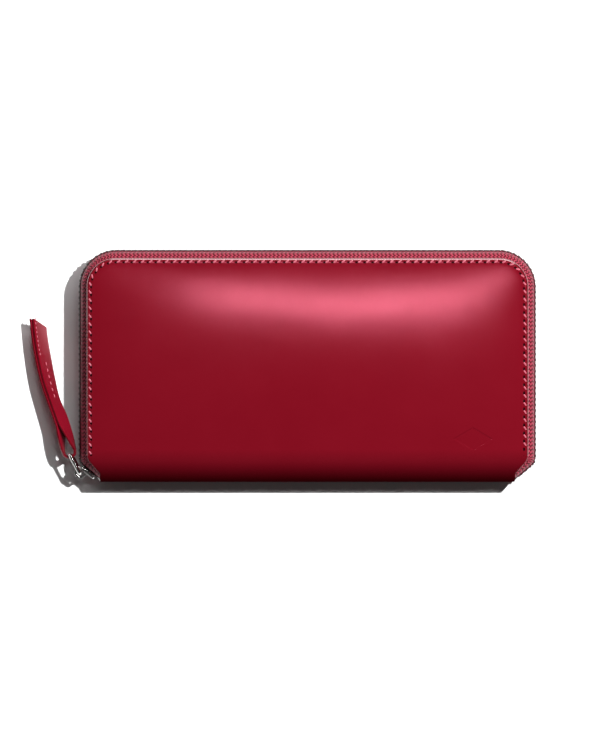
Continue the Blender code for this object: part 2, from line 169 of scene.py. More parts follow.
def make_stage():
    area_light("key", (0.36, 0.25, 1.05), (0, 0, 0), (0.035, 0.035), 24, mirrored=False)
    area_light("top_strip", (0.045, 0.175, 1.0), (0.02, 0.02, 0), (0.26, 0.03), 0.9)
    area_light("mouth_box", (0.15, 0.80, 0.68), (0, 0.03, 0), (0.8, 0.22), 3.4)
    area_light("left_fill", (-0.95, -0.1, 1.5), (-0.09, 0, 0), (0.5, 0.5), 0.1)
    world = bpy.data.worlds.new("studio")
    world.use_nodes = True
    background = world.node_tree.nodes["Background"]
    background.inputs["Color"].default_value = (1, 1, 1, 1)
    background.inputs["Strength"].default_value = 0.04
    bpy.context.scene.world = world
    bpy.context.scene.view_settings.view_transform = "Standard"
    build = bmesh.new()
    bmesh.ops.create_grid(build, x_segments=1, y_segments=1, size=3)
    floor = new_object("floor", build, floor_look())
    floor.location.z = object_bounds()[0][2] - 0.1 * MM


# ---------------------------------------------------------------- materials

class Look:
    """A node material built up step by step."""

    def __init__(self, name):
        self.made = bpy.data.materials.new(name)
        self.made.use_nodes = True
        self.tree = self.made.node_tree
        self.shader = self.tree.nodes["Principled BSDF"]

    def node(self, kind, **values):
        made = self.tree.nodes.new("ShaderNode" + kind)
        for name, value in values.items():
            if name in made.inputs:
                self.feed(made.inputs[name], value)
            else:
                setattr(made, name, value)
        return made

    def feed(self, socket, value):
        if isinstance(value, bpy.types.NodeSocket):
            self.tree.links.new(value, socket)
        else:
            socket.default_value = value

    def set(self, **values):
        for name, value in values.items():
            title = name.replace("_", " ").title().replace("Ior", "IOR")
            self.feed(self.shader.inputs[title], value)

    def place(self, stretch=(1, 1, 1), turn=0.0):
        """The piece's own coordinates at rest, in metres."""
        spot = self.node("TexCoord").outputs["Object"]
        mapping = self.node("Mapping", Vector=spot, Scale=stretch, Rotation=(0, 0, turn))
        return mapping.outputs["Vector"]

    def along(self):
        """Coordinates laid out along the piece: (length, width) in metres."""
        return self.node("UVMap", uv_map="run").outputs["UV"]

    def noise(self, scale, detail=3.0, where=None, roughness=0.5):
        made = self.node("TexNoise", Vector=where or self.place())
        made.inputs["Scale"].default_value = scale
        made.inputs["Detail"].default_value = detail
        made.inputs["Roughness"].default_value = roughness
        return made.outputs["Fac"]

    def cells(self, scale, feature="F1", where=None):
        made = self.node("TexVoronoi", Vector=where or self.place(), feature=feature)
        made.inputs["Scale"].default_value = scale
        return made.outputs["Distance"]

    def math(self, operation, a, b=0.0, c=0.0):
        made = self.node("Math", operation=operation)
        for socket, value in zip(made.inputs, (a, b, c)):
            self.feed(socket, value)
        return made.outputs[0]

    def both(self, first, first_share, second, second_share):
        """Two patterns added up, each with its own share."""
        first = self.math("MULTIPLY", first, first_share)
        return self.math("ADD", first, self.math("MULTIPLY", second, second_share))

    def ramp(self, value, low, high, start=0.0, end=1.0):
        """A number or a colour that runs between two values."""
        made = self.node("MapRange", Value=value)
        made.inputs["From Min"].default_value = start
        made.inputs["From Max"].default_value = end
        if isinstance(low, tuple):
            return self.mix(made.outputs["Result"], low, high)
        made.inputs["To Min"].default_value = low
        made.inputs["To Max"].default_value = high
        return made.outputs["Result"]

    def mix(self, share, low, high):
        made = self.node("Mix", data_type="RGBA")
        self.feed(made.inputs[0], share)
        for socket, value in ((made.inputs[6], low), (made.inputs[7], high)):
            self.feed(socket, (*value, 1.0) if isinstance(value, tuple) else value)
        return made.outputs[2]

    def bump(self, *layers):
        """Layers of (height, depth in metres), the finest last."""
        normal = None
        for height, depth in layers:
            made = self.node("Bump", Height=height, Distance=depth)
            made.inputs["Strength"].default_value = 1.0
            if normal:
                self.feed(made.inputs["Normal"], normal)
            normal = made.outputs["Normal"]
        self.set(normal=normal)


LEATHER_GLOSS = 0.9
# Painted shade: near black in the needle holes, for the shade in their depth
HOLE_SHADE_COLOUR = (0.004, 0.0005, 0.001)
# Painted shade: the colour the cover darkens to along the spine's curve
SPINE_SHADE_COLOUR = (0.02, 0.0003, 0.0010)


def stitch_holes(look):
    """1 in the needle holes along the seam, 0 elsewhere, from the cover's own run."""
    parts = look.node("SeparateXYZ", Vector=look.along())
    wrapped = look.math("PINGPONG", parts.outputs["X"], STITCH_PITCH / 2)
    off = look.math("SUBTRACT", parts.outputs["Y"], HOLE_INSET)
    spread = [
        look.math("POWER", look.math("DIVIDE", value, size), 2.0)
        for value, size in ((wrapped, HOLE_SIZE[0]), (look.math("ABSOLUTE", off), HOLE_SIZE[1]))
    ]
    return look.ramp(look.math("ADD", *spread), 1.0, 0.0, 0.5, 1.3)


def lozenge(look):
    """A plain pressed lozenge, the wallet's only mark: 1 on its border, less inside it."""
    parts = look.node("SeparateXYZ", Vector=look.place())
    spans = []
    for axis, at, size in (("X", MARK[0], MARK_SIZE[0]), ("Y", MARK[1], MARK_SIZE[1])):
        off = look.math("ABSOLUTE", look.math("SUBTRACT", parts.outputs[axis], at))
        spans.append(look.math("DIVIDE", off, size))
    return look.math("ADD", *spans)


def leather_look(name, deep, bright, roughness, coat, grain, seam=False):
    look = Look(name)
    tone = look.both(look.noise(38, 2.0), 0.8, look.noise(420, 4.0), 0.2)
    colour = look.ramp(tone, deep, bright, 0.3, 0.7)
    layers, gloss = [], LEATHER_GLOSS
    if seam:
        holes = stitch_holes(look)
        solid = look.math("SUBTRACT", 1.0, holes)
        # The needle holes are painted near black as painted shade; their depth is also a bump
        colour = look.mix(holes, colour, HOLE_SHADE_COLOUR)
        mark = lozenge(look)
        face = look.ramp(mark, 0.0, 1.0, 0.92, 1.0)
        line = look.math("ABSOLUTE", look.math("SUBTRACT", mark, 0.74))
        border = look.ramp(line, 0.0, 1.0, 0.03, 0.09)
        layers = [(solid, 0.2 * MM), (look.math("MULTIPLY", face, border), 0.16 * MM)]
        # The rim is polished; towards the spine the leather turns matt, and its colour is darkened
        # with painted shade within 14 mm of the spine
        rim = look.node("SeparateXYZ", Vector=look.along()).outputs["Y"]
        coat = look.math("MULTIPLY", look.ramp(rim, 1.0, 0.0, 0.6 * MM, 1.0 * MM), solid)
        spine = look.node("SeparateXYZ", Vector=look.place()).outputs["Y"]
        gloss = look.ramp(spine, 0.0, LEATHER_GLOSS, SPINE_Y + 3.0 * MM, SPINE_Y + 9.0 * MM)
        gloss = look.math("MULTIPLY", gloss, solid)
        shade = look.ramp(spine, 0.9, 0.0, SPINE_Y + 1.0 * MM, SPINE_Y + 14.0 * MM)
        colour = look.mix(shade, colour, SPINE_SHADE_COLOUR)
    look.set(base_color=colour, specular_tint=(1, 0.24, 0.35, 1), specular_ior_level=gloss)
    haze = look.noise(160, 4.0)
    look.set(roughness=look.ramp(haze, roughness - 0.02, roughness + 0.02, 0.2, 0.8))
    look.set(coat_weight=coat, coat_roughness=0.12, coat_ior=2.1)
    pores = look.cells(2600)
    creases = look.noise(1500, 4.0, roughness=0.6)
    look.bump(*layers, (creases, grain), (pores, grain * 0.35))
    return look.made


def paint_look(name, colour):
    look = Look(name)
    mottle = look.noise(700, 3.0)
    dark = tuple(c * 0.75 for c in colour)
    look.set(base_color=look.ramp(mottle, dark, colour, 0.3, 0.7), specular_ior_level=0.2)
    look.set(roughness=look.ramp(mottle, 0.4, 0.55))
    look.bump((mottle, 0.04 * MM))
    return look.made


def thread_look():
    look = Look("thread")
    run = look.along()
    ply = look.node("TexWave", Vector=run, wave_type="BANDS", bands_direction="DIAGONAL")
    ply.inputs["Scale"].default_value = 900
    twist = ply.outputs["Fac"]
    look.set(base_color=look.ramp(twist, (0.34, 0.035, 0.07), (0.66, 0.16, 0.22)), roughness=0.55)
    look.set(sheen_weight=0.4)
    look.bump((twist, 0.05 * MM))
    return look.made


def tape_look(name, deep, bright):
    """Herringbone tape: slanted ribs that change direction in lanes across the width; its raised
    ribs are painted bright as painted highlight, and random fuzz varies the tone.
    """
    look = Look(name)
    parts = look.node("SeparateXYZ", Vector=look.along())
    length, width = parts.outputs["X"], parts.outputs["Y"]
    lane = look.math("PINGPONG", width, 0.9 * MM)
    slant = look.math("ADD", length, look.math("MULTIPLY", lane, 1.1))
    rib = look.math("SINE", look.math("MULTIPLY", slant, math.tau / (1.7 * MM)))
    across = look.math("SINE", look.math("MULTIPLY", width, math.tau / (0.65 * MM)))
    weave = look.math("ADD", look.both(rib, 0.36, across, 0.14), 0.5)
    fuzz = look.noise(1800, 3.0)
    tone = look.both(weave, 0.65, fuzz, 0.35)
    # Painted highlight: the weave's raised ribs take the bright colour
    look.set(base_color=look.ramp(tone, deep, bright, 0.42, 0.74), roughness=0.5)
    look.set(specular_tint=(1, 0.5, 0.55, 1), specular_ior_level=0.15)
    look.bump((weave, 0.25 * MM), (fuzz, 0.08 * MM))
    return look.made


def lining_look():
    look = Look("lining_weave")
    parts = look.node("SeparateXYZ", Vector=look.place())
    threads = [
        look.math("SINE", look.math("MULTIPLY", parts.outputs[axis], math.tau / (0.55 * MM)))
        for axis in ("X", "Y")
    ]
    weave = look.math("ADD", look.math("MULTIPLY", look.math("MULTIPLY", *threads), 0.5), 0.5)
    slub = look.noise(600, 3.0, look.place((0.15, 1, 1)))
    tone = look.both(weave, 0.6, slub, 0.4)
    look.set(base_color=look.ramp(tone, (0.09, 0.003, 0.008), (0.24, 0.012, 0.026)), roughness=0.85)
    look.set(sheen_weight=0.08, sheen_tint=(0.9, 0.2, 0.25, 1), specular_ior_level=0.2)
    look.bump((weave, 0.06 * MM), (slub, 0.05 * MM))
    return look.made


def board_look():
    look = Look("fibre_board")
    fibre = look.noise(500, 5.0, look.place((0.3, 1, 1)))
    look.set(base_color=look.ramp(fibre, (0.30, 0.23, 0.16), (0.52, 0.43, 0.32), 0.3, 0.7))
    look.set(roughness=look.ramp(fibre, 0.85, 0.95))
    look.bump((fibre, 0.05 * MM))
    return look.made


def metal_look(name, colour, roughness):
    look = Look(name)
    haze = look.noise(900, 4.0)
    scratch = look.noise(1800, 3.0, look.place((1, 0.12, 1), 0.5))
    dark = tuple(c * 0.8 for c in colour)
    look.set(base_color=look.ramp(haze, dark, colour, 0.3, 0.7))
    look.set(metallic=1.0, roughness=look.ramp(scratch, roughness, roughness + 0.14, 0.3, 0.7))
    look.bump((haze, 0.02 * MM), (scratch, 0.008 * MM))
    return look.made


def floor_look():
    look = Look("floor_paper")
    tooth = look.noise(90, 4.0)
    look.set(base_color=look.ramp(tooth, (0.90, 0.90, 0.90), (0.93, 0.93, 0.93)))
    look.set(roughness=0.9, specular_ior_level=0.1)
    look.bump((tooth, 0.05 * MM))
    return look.made


def make_looks():
    crimson = ((0.121, 0.0022, 0.0070), (0.129, 0.0027, 0.0080))
    return {
        "cover": leather_look("cover_leather", *crimson, 0.17, 0.0, 0.010 * MM, seam=True),
        "strap": leather_look("strap_leather", (0.16, 0.0026, 0.010), (0.20, 0.004, 0.014), 0.34,
                              0.0, 0.03 * MM),
        "pocket": leather_look("pocket_leather", (0.18, 0.005, 0.014), (0.24, 0.008, 0.022), 0.42,
                               0.1, 0.05 * MM),
        "edge": paint_look("edge_paint", (0.10, 0.002, 0.006)),
        "thread": thread_look(),
        "tape": tape_look("zip_tape", (0.06, 0.001, 0.004), (0.40, 0.045, 0.08)),
        # The bead is coloured darker than the tape as painted shade in the gaps between the teeth
        "bead": tape_look("zip_tape_bead_painted_shade", (0.035, 0.001, 0.003), (0.16, 0.012, 0.03)),
        "lining": lining_look(),
        "board": board_look(),
        "nickel": metal_look("polished_nickel", (0.84, 0.83, 0.81), 0.12),
        "teeth": metal_look("tumbled_nickel", (0.24, 0.24, 0.235), 0.28),
    }


# ---------------------------------------------------------------- mesh helpers

def new_object(name, build, *looks):
    """An object from a bmesh or from (points, faces)."""
    mesh = bpy.data.meshes.new(name)
    if isinstance(build, bmesh.types.BMesh):
        build.to_mesh(mesh)
        build.free()
    else:
        mesh.from_pydata([tuple(p) for p in build[0]], [], build[1])
    for look in looks:
        mesh.materials.append(look)
    made = bpy.data.objects.new(name, mesh)
    bpy.context.scene.collection.objects.link(made)
    return made


def smooth(obj, angle=35):
    """Smooth shading, with edges sharper than an angle kept."""
    obj.data.shade_smooth()
    obj.data.set_sharp_from_angle(angle=math.radians(angle))
    return obj


def face_out(obj):
    build = bmesh.new()
    build.from_mesh(obj.data)
    bmesh.ops.recalc_face_normals(build, faces=build.faces)
    build.to_mesh(obj.data)
    build.free()
    return obj


def grid_solid(name, top, bottom, look, edge_look=None):
    """A closed sheet between two matching grids of points, rows by columns."""
    top, bottom = np.array(top), np.array(bottom)
    rows, columns = top.shape[:2]
    count = rows * columns
    points = np.concatenate([top.reshape(-1, 3), bottom.reshape(-1, 3)])
    faces = []
    for i in range(rows - 1):
        for j in range(columns - 1):
            a, b = i * columns + j, i * columns + j + 1
            c, d = b + columns, a + columns
            faces += [(a, b, c, d), (a + count, d + count, c + count, b + count)]
    border = (
        [i * columns for i in range(rows)]
        + [(rows - 1) * columns + j for j in range(1, columns)]
        + [i * columns + columns - 1 for i in range(rows - 2, -1, -1)]
        + [j for j in range(columns - 2, 0, -1)]
    )
    sides = [(a, b, b + count, a + count) for a, b in zip(border, border[1:] + border[:1])]
    made = new_object(name, (points, faces + sides), look, edge_look or look)
    for polygon in made.data.polygons[len(faces):]:
        polygon.material_index = 1
    return smooth(face_out(made), 50)


def tube_solid(name, rings, look, closed=False):
    """A closed solid through rings with the same number of points; closed joins last to first."""
    count, size = len(rings), len(rings[0])
    points = [p for ring in rings for p in ring]
    faces = []
    for i in range(count if closed else count - 1):
        k = (i + 1) % count
        for j in range(size):
            m = (j + 1) % size
            faces.append((i * size + j, i * size + m, k * size + m, k * size + j))
    if not closed:
        faces += [tuple(range(size)), tuple((count - 1) * size + j for j in range(size))]
    return smooth(face_out(new_object(name, (points, faces), look)))


def paint_run(obj, lengths, widths):
    """Stores (length, width) along a piece, one pair for each point of its mesh."""
    layer = obj.data.uv_layers.new(name="run")
    for loop in obj.data.loops:
        layer.data[loop.index].uv = (lengths[loop.vertex_index], widths[loop.vertex_index])
    return obj


def copies(name, template, places, look):
    """One mesh of the template's copies, at each of the given matrices."""
    points = np.array([v.co for v in template.verts])
    faces = [[v.index for v in face.verts] for face in template.faces]
    spots, shapes = [], []
    for index, matrix in enumerate(places):
        m = np.array(matrix)
        spots.append(points @ m[:3, :3].T + m[:3, 3])
        shapes += [[v + index * len(points) for v in face] for face in faces]
    made = new_object(name, (np.concatenate(spots), shapes), look)
    lengths = [p[0] for p in points] * len(places)
    widths = [math.atan2(p[2], p[1]) * STITCH_RADIUS for p in points] * len(places)
    return smooth(paint_run(made, lengths, widths), 40)


def rounded_block(size, bevel, segments=2):
    build = bmesh.new()
    bmesh.ops.create_cube(build, size=1)
    bmesh.ops.scale(build, vec=size, verts=build.verts)
    bmesh.ops.bevel(build, geom=build.edges, offset=bevel, segments=segments, affect="EDGES",
                    profile=0.5)
    build.verts.index_update()
    return build


def merge(target, extra):
    spare = bpy.data.meshes.new("spare")
    extra.to_mesh(spare)
    extra.free()
    target.from_mesh(spare)
    bpy.data.meshes.remove(spare)
    target.verts.index_update()
    return target


def circle(centre, right, up, radius, sides):
    """Points on a circle round a place, in the plane of two directions."""
    turns = (math.tau * k / sides for k in range(sides))
    return [centre + right * radius * math.cos(a) + up * radius * math.sin(a) for a in turns]


def wire_loop(name, pivot, along, across, line, radius, sides, look):
    """A closed wire; its line is laid out as (along, up) from the pivot, across is square to it."""
    rings = []
    for i, point in enumerate(line):
        step = line[(i + 1) % len(line)] - line[i - 1]
        side = (along * step.x + Z * step.y).normalized().cross(across)
        rings.append(circle(pivot + along * point.x + Z * point.y, across, side, radius, sides))
    return tube_solid(name, rings, look, closed=True)


def join_rings(build, rings):
    """Faces between neighbouring rings of vertices; returns those over the first and the last."""
    size = len(rings[0])
    for first, second in zip(rings, rings[1:]):
        for k in range(size):
            m = (k + 1) % size
            build.faces.new((first[k], first[m], second[m], second[k]))
    ends = [build.faces.new(rings[0]), build.faces.new(rings[-1])]
    bmesh.ops.recalc_face_normals(build, faces=build.faces)
    return ends


def stitch_shape():
    """A rod along X whose ends turn down into the leather."""
    build = bmesh.new()
    stations, sides = 9, 8
    rings = []
    for i in range(stations):
        t = -1 + 2 * i / (stations - 1)
        drop = STITCH_RADIUS * 2.0 * abs(t) ** 3
        thick = STITCH_RADIUS * (1 - 0.35 * abs(t) ** 3)
        turns = [math.tau * k / sides for k in range(sides)]
        spots = [(thick * math.cos(turn), thick * math.sin(turn) - drop) for turn in turns]
        rings.append([build.verts.new((t * STITCH_LENGTH / 2, y, z)) for y, z in spots])
    join_rings(build, rings)
    build.verts.index_update()
    return build


def sew(name, places, looks):
    return copies(name, stitch_shape(), places, looks["thread"])


def attach(piece, slot, body, *nodes):
    """Puts a piece on the body it rides and hides the CAD nodes it stands for; its slot is not
    used.
    """
    if nodes:
        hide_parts(*nodes)
    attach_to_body(piece, body)


def bend(piece, slot, word, side, *nodes):
    """Bakes a piece's place into its mesh and hides the CAD nodes it stands for."""
    if nodes:
        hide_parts(*nodes)
    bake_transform(piece)


def step_up(x, start=0.0, end=1.0):
    t = min(max((x - start) / (end - start), 0.0), 1.0)
    return t * t * (3 - 2 * t)


def stitch_frame(spot, along, up, length=1.0, thick=1.0):
    """Where one stitch goes: its middle, its direction, and the way out of the leather."""
    along = along.normalized()
    across = up.cross(along).normalized()
    return Matrix((
        (along.x * length, across.x * thick, up.x * thick, spot.x),
        (along.y * length, across.y * thick, up.y * thick, spot.y),
        (along.z * length, across.z * thick, up.z * thick, spot.z),
    )).to_4x4()


# ---------------------------------------------------------------- routes

def arc(centre, radius, start, end, steps):
    angles = [math.radians(start + (end - start) * i / steps) for i in range(steps + 1)]
    return [Vector((centre[0] + radius * math.cos(a), centre[1] + radius * math.sin(a), 0))
            for a in angles]


def zip_route(inset, tuck=0.0, arc_steps=16):
    """The zip's route from the left spine end round the mouth to the right spine end."""
    turn = (-HALF_LENGTH + inset, TURN_Y + inset * math.tan(TURN / 2))
    radius = max(TURN_RADIUS - inset, 1.0 * MM)
    reach = radius * math.tan(TURN / 2)
    end = Vector((-HALF_LENGTH, TURN_Y, 0)) - LEFT_ALONG * (TAIL_LENGTH + tuck) - LEFT_OUT * inset
    bend = arc((turn[0] + radius, turn[1] + reach), radius, 180 + math.degrees(TURN), 180,
               arc_steps // 2)
    mouth = max(MOUTH_RADIUS - inset, LEAST_MOUTH_RADIUS)
    top = arc((-HALF_LENGTH + inset + mouth, MOUTH_Y - inset - mouth), mouth, 180, 90, arc_steps)
    left = [end] + bend + top
    return left + [Vector((-p.x, p.y, 0)) for p in reversed(left)]


def run_lengths(points):
    """How far along a line each of its points is."""
    lengths = [0.0]
    for a, b in zip(points, points[1:]):
        lengths.append(lengths[-1] + (b - a).length)
    return lengths


def two_sides(line, half):
    """The two faces of a section line, half a thickness to either side of it."""
    faces = ([], [])
    for k, point in enumerate(line):
        along = (line[min(k + 1, len(line) - 1)] - line[max(k - 1, 0)]).normalized()
        normal = Vector((-along.y, along.x)) * half
        faces[0].append(point + normal)
        faces[1].append(point - normal)
    return faces


def section(pairs):
    """A section line from pairs of millimetres."""
    return [Vector((a * MM, b * MM)) for a, b in pairs]


def stations(points, spacing):
    """Evenly spaced stations along a line of points, as (piece, share of that piece)."""
    lengths = run_lengths(points)
    count = max(2, round(lengths[-1] / spacing))
    made, k = [], 0
    for i in range(count + 1):
        target = lengths[-1] * i / count
        while k < len(points) - 2 and lengths[k + 1] < target:
            k += 1
        span = lengths[k + 1] - lengths[k]
        made.append((k, (target - lengths[k]) / span if span else 0.0))
    return made


def divide(points, spacing):
    """Evenly spaced (place, direction) pairs along a line of points."""
    return [(points[k].lerp(points[k + 1], t), (points[k + 1] - points[k]).normalized())
            for k, t in stations(points, spacing)]


# ---------------------------------------------------------------- cover leather

ARC_LENGTH = SPINE_RADIUS * math.pi / 2
STRAIGHT = MID - SPINE_RADIUS
PROFILE_FOOT = STRAIGHT + ARC_LENGTH
PROFILE_END = PROFILE_FOOT + (MOUTH_Y - COVER_INSET) - SPINE_START


def half_width(y, inset=COVER_INSET):
    """Half the cover's length at a place between the spine and the mouth."""
    full = HALF_LENGTH - inset
    radius = MOUTH_RADIUS - inset
    corner = MOUTH_Y - inset - radius
    if y > corner:
        return full - radius + math.sqrt(max(radius ** 2 - (y - corner) ** 2, 0.0))
    foot = TURN_Y + inset * math.tan(TURN / 2)
    if y < foot:
        return max(full - (foot - y) * CORNER_SLOPE, SPINE_HALF + 2.6 * MM)
    return full


def edge_distance(x, y):
    """How far a place on the cover is from its border at the ends and the mouth."""
    radius = MOUTH_RADIUS - COVER_INSET
    full = HALF_LENGTH - COVER_INSET
    top = MOUTH_Y - COVER_INSET
    across = abs(x) - (full - radius)
    up = y - (top - radius)
    if across > 0 and up > 0:
        return radius - math.hypot(across, up)
    return min(half_width(y) - abs(x), top - y)


def crown(x, y, puff):
    """The padded cover's height above its flat solid."""
    v = (y - SPINE_START) / (MOUTH_Y - COVER_INSET - SPINE_START)
    v = min(max(v, 0.0), 1.0)
    u = min(abs(x) / (HALF_LENGTH - COVER_INSET), 1.0)
    rise = puff * CROWN * 4 * v * (1 - v) * (1 - math.exp(-v / 0.06)) * (1 - 0.75 * u ** 4)
    drop = MOUTH_DROP * v ** 2 + END_DROP * u ** 6
    wave = 0.06 * MM * math.sin(x * 62 + 1.2) * math.sin(y * 70 + 0.8)
    wave += 0.02 * MM * math.sin(x * 131 + y * 40 + 0.4)
    return rise - drop + wave * puff * step_up(v, 0.0, 0.25)


def cover_place(x, s, side, puff):
    """A point of the outer face: x along the wallet, s up the spine and across the cover."""
    if s < STRAIGHT:
        y, z, lift = SPINE_Y, s, 0.0
    elif s < PROFILE_FOOT:
        a = (s - STRAIGHT) / SPINE_RADIUS
        y = SPINE_START - SPINE_RADIUS * math.sin(math.pi / 2 - a)
        z = STRAIGHT + SPINE_RADIUS * math.sin(a)
        lift = step_up(s, STRAIGHT, PROFILE_FOOT)
    else:
        y = SPINE_START + s - PROFILE_FOOT
        z = MID
        lift = 1.0
    edge = max(edge_distance(x, y), 0.0)
    height = z + crown(x, y, puff) * lift
    pinch = EDGE_PINCH * math.exp(-edge / PINCH_REACH)
    groove = 0.0
    if y > STITCH_END_Y:
        groove = SEAM_DEPTH * math.exp(-((edge - SEAM_INSET) / SEAM_WIDTH) ** 2)
    bite = 1 - min(edge / EDGE_ROUND, 1.0)
    roll = EDGE_DROP * (1 - math.sqrt(1 - bite ** 2))
    into = min(max(RIM - edge, -RIM_BLEND), RIM)
    facet = into if into > RIM_BLEND else (into + RIM_BLEND) ** 2 / (4 * RIM_BLEND)
    roll += RIM_SLOPE * facet
    height -= (pinch + groove + roll) * lift
    return Vector((x, y, MID + side * height))


def seam_run(x, y):
    """How far along the seam the nearest point of it is, from the seam's left end."""
    full = HALF_LENGTH - COVER_INSET
    radius = MOUTH_RADIUS - COVER_INSET
    corner = (full - radius, MOUTH_Y - COVER_INSET - radius)
    bend_length = (radius - SEAM_INSET) * math.pi / 2
    up = corner[1] - STITCH_END_Y
    half = up + bend_length + corner[0]
    across, rise = abs(x) - corner[0], y - corner[1]
    if across > 0 and rise > 0:
        run = up + (radius - SEAM_INSET) * math.atan2(rise, across)
    elif rise > across:
        run = half - abs(x)
    else:
        run = y - STITCH_END_Y
    return run if x < 0 else 2 * half - run


def spaced(low, high, step):
    count = max(1, round((high - low) / step))
    return [low + (high - low) * i / count for i in range(count)]


def inward(s, side, reach):
    """The way into the wallet at one place of the outer face's profile, square to it."""
    ahead = cover_place(0, min(s + reach, PROFILE_END), side, 0)
    behind = cover_place(0, max(s - reach, 0), side, 0)
    slope = (ahead - behind).normalized()
    return Vector((0, -slope.z, slope.y)) * -side


def make_cover_leather(word, side, puff, looks):
    s_values = spaced(0, STRAIGHT, 1 * MM) + spaced(STRAIGHT, PROFILE_FOOT, 0.8 * MM)
    s_values += spaced(PROFILE_FOOT, PROFILE_END - 13 * MM, 2.2 * MM)
    s_values += spaced(PROFILE_END - 13 * MM, PROFILE_END - EDGE_ROWS[-3], 0.6 * MM)
    s_values += [PROFILE_END - value for value in reversed(EDGE_ROWS[:-2])]
    middle = spaced(0.0, 1.0, 1 / 66) + [1.0]
    top, bottom = [], []
    for s in s_values:
        y = cover_place(0, s, side, puff).y
        half = half_width(y)
        inner = half - EDGE_ROWS[-1] - 1.5 * MM
        xs = [-half + value for value in EDGE_ROWS] + [inner * (2 * t - 1) for t in middle]
        xs += [half - value for value in reversed(EDGE_ROWS)]
        row = [cover_place(x, s, side, puff) for x in xs]
        top.append(row)
        way = inward(s, side, 0.5 * MM)
        thin = LEATHER * (1 - 0.25 * step_up(s, PROFILE_FOOT, PROFILE_FOOT + 5 * MM))
        bottom.append([p + way * thin for p in row])
    cover = grid_solid(f"{word}_cover_leather", top, bottom, looks["cover"], looks["edge"])
    runs, insets = [], []
    for p in (p for row in top for p in row):
        sewn = p.y > STITCH_END_Y - MM
        runs.append(seam_run(p.x, p.y) if sewn else -1.0)
        insets.append(edge_distance(p.x, p.y) if sewn else 1.0)
    paint_run(cover, runs * 2, insets + [1.0] * len(insets))
    bend(cover, "cover_leather", word, side, f"{word}_leather", "spine_leather")


def make_cover_stitches(word, side, puff, looks):
    """Slanted stitches between the needle holes, from one spine end round to the other."""
    inset = COVER_INSET + SEAM_INSET
    route = [p for p in zip_route(inset, arc_steps=48) if p.y > STITCH_END_Y]
    ends = [Vector((route[k].x, STITCH_END_Y, 0)) for k in (0, -1)]
    fine = divide([ends[0]] + route + [ends[1]], STITCH_PITCH / 20)
    total = run_lengths([place for place, _ in fine])[-1]
    step = total / (len(fine) - 1)
    places = []
    run = STITCH_START
    while run < total - STITCH_PITCH / 2:
        place, along = fine[round(run / step)]
        s = PROFILE_FOOT + place.y - SPINE_START
        height = cover_place(place.x, s, side, puff).z
        slanted = Matrix.Rotation(STITCH_SLANT * side, 3, "Z") @ along
        spot = Vector((place.x, place.y, height + side * STITCH_LIFT))
        places.append(stitch_frame(spot, slanted, Z * side))
        run += STITCH_PITCH
    bend(sew(f"{word}_cover_stitches", places, looks), "cover_leather", word, side)


# ---------------------------------------------------------------- main zip

# Section of the tape as (inset, height above the middle): out from under the cover, then down
TAPE_LINE = [(7.0, 11.4), (5.7, 11.35), (5.1, 11.1), (4.6, 10.5), (4.2, 9.7), (3.7, 9.1),
             (3.0, 8.6), (2.3, 7.9), (1.75, 6.8), (1.45, 5.5), (1.3, 4.0), (1.3, 2.5)]
TAPE_THICKNESS = 0.55 * MM
TAPE_TUCK = 1.8 * MM
TAPE_SPACING = 1.6 * MM
BEAD_SPACING = 1.4 * MM


def make_tape(word, side, looks):
    line = section(TAPE_LINE)
    upper, lower = two_sides(line, TAPE_THICKNESS / 2)
    ring = upper + lower[::-1]
    widths = run_lengths(line)
    marks = stations(zip_route(0, TAPE_TUCK), TAPE_SPACING)
    rails = []
    for point in ring:
        route = zip_route(point.x, TAPE_TUCK)
        rails.append([route[k].lerp(route[k + 1], t) for k, t in marks])
    rings = [
        [Vector((rail[i].x, rail[i].y, MID + side * p.y)) for rail, p in zip(rails, ring)]
        for i in range(len(marks))
    ]
    tape = tube_solid(f"{word}_tape", rings, looks["tape"])
    lengths = [i * TAPE_SPACING for i in range(len(marks)) for _ in ring]
    paint_run(tape, lengths, (widths + widths[::-1]) * len(marks))
    bend(tape, "zip_tape", word, side, f"{word}_zip_tape")


def make_teeth(word, side, looks):
    """Separate teeth clamped on the tape's edge; each has a body and a narrower head."""
    along_size, through, across = TOOTH_SIZE
    body = rounded_block((along_size, through, across * 0.62), 0.22 * MM)
    bmesh.ops.translate(body, vec=(0, 0, across * 0.19), verts=body.verts)
    head = rounded_block((along_size * 0.78, through * 0.72, across * 0.6), 0.2 * MM)
    bmesh.ops.translate(head, vec=(0, 0, -across * 0.2), verts=head.verts)
    merge(body, head)
    places = []
    height = MID + side * TOOTH_RISE
    shift = 0 if side > 0 else TOOTH_PITCH / 2
    for place, along in divide(zip_route(TOOTH_INSET, arc_steps=24), TOOTH_PITCH)[1:-1]:
        out = along.cross(Vector((0, 0, side)))
        spot = place + along * shift
        places.append(Matrix((
            (along.x, out.x, 0, spot.x),
            (along.y, out.y, 0, spot.y),
            (0, 0, side, height),
        )).to_4x4())
    teeth = copies(f"{word}_teeth", body, places, looks["teeth"])
    bend(teeth, "zip_metal", word, side, f"{word}_tooth_row")


def make_bead(word, side, looks):
    """The corded edge of a tape, which the teeth are clamped on."""
    rings, lengths = [], []
    for i, (place, along) in enumerate(divide(zip_route(BEAD_INSET), BEAD_SPACING)):
        middle = Vector((place.x, place.y, MID + side * BEAD_RISE))
        rings.append(circle(middle, along.cross(Z), Z, BEAD_RADIUS, BEAD_SIDES))
        lengths += [i * BEAD_SPACING] * BEAD_SIDES
    step = BEAD_RADIUS * math.tau / BEAD_SIDES
    bead = tube_solid(f"{word}_tape_bead", rings, looks["bead"])
    paint_run(bead, lengths, [k * step for k in range(BEAD_SIDES)] * len(rings))
    bend(bead, "zip_tape", word, side)


# ---------------------------------------------------------------- main slider and its pull

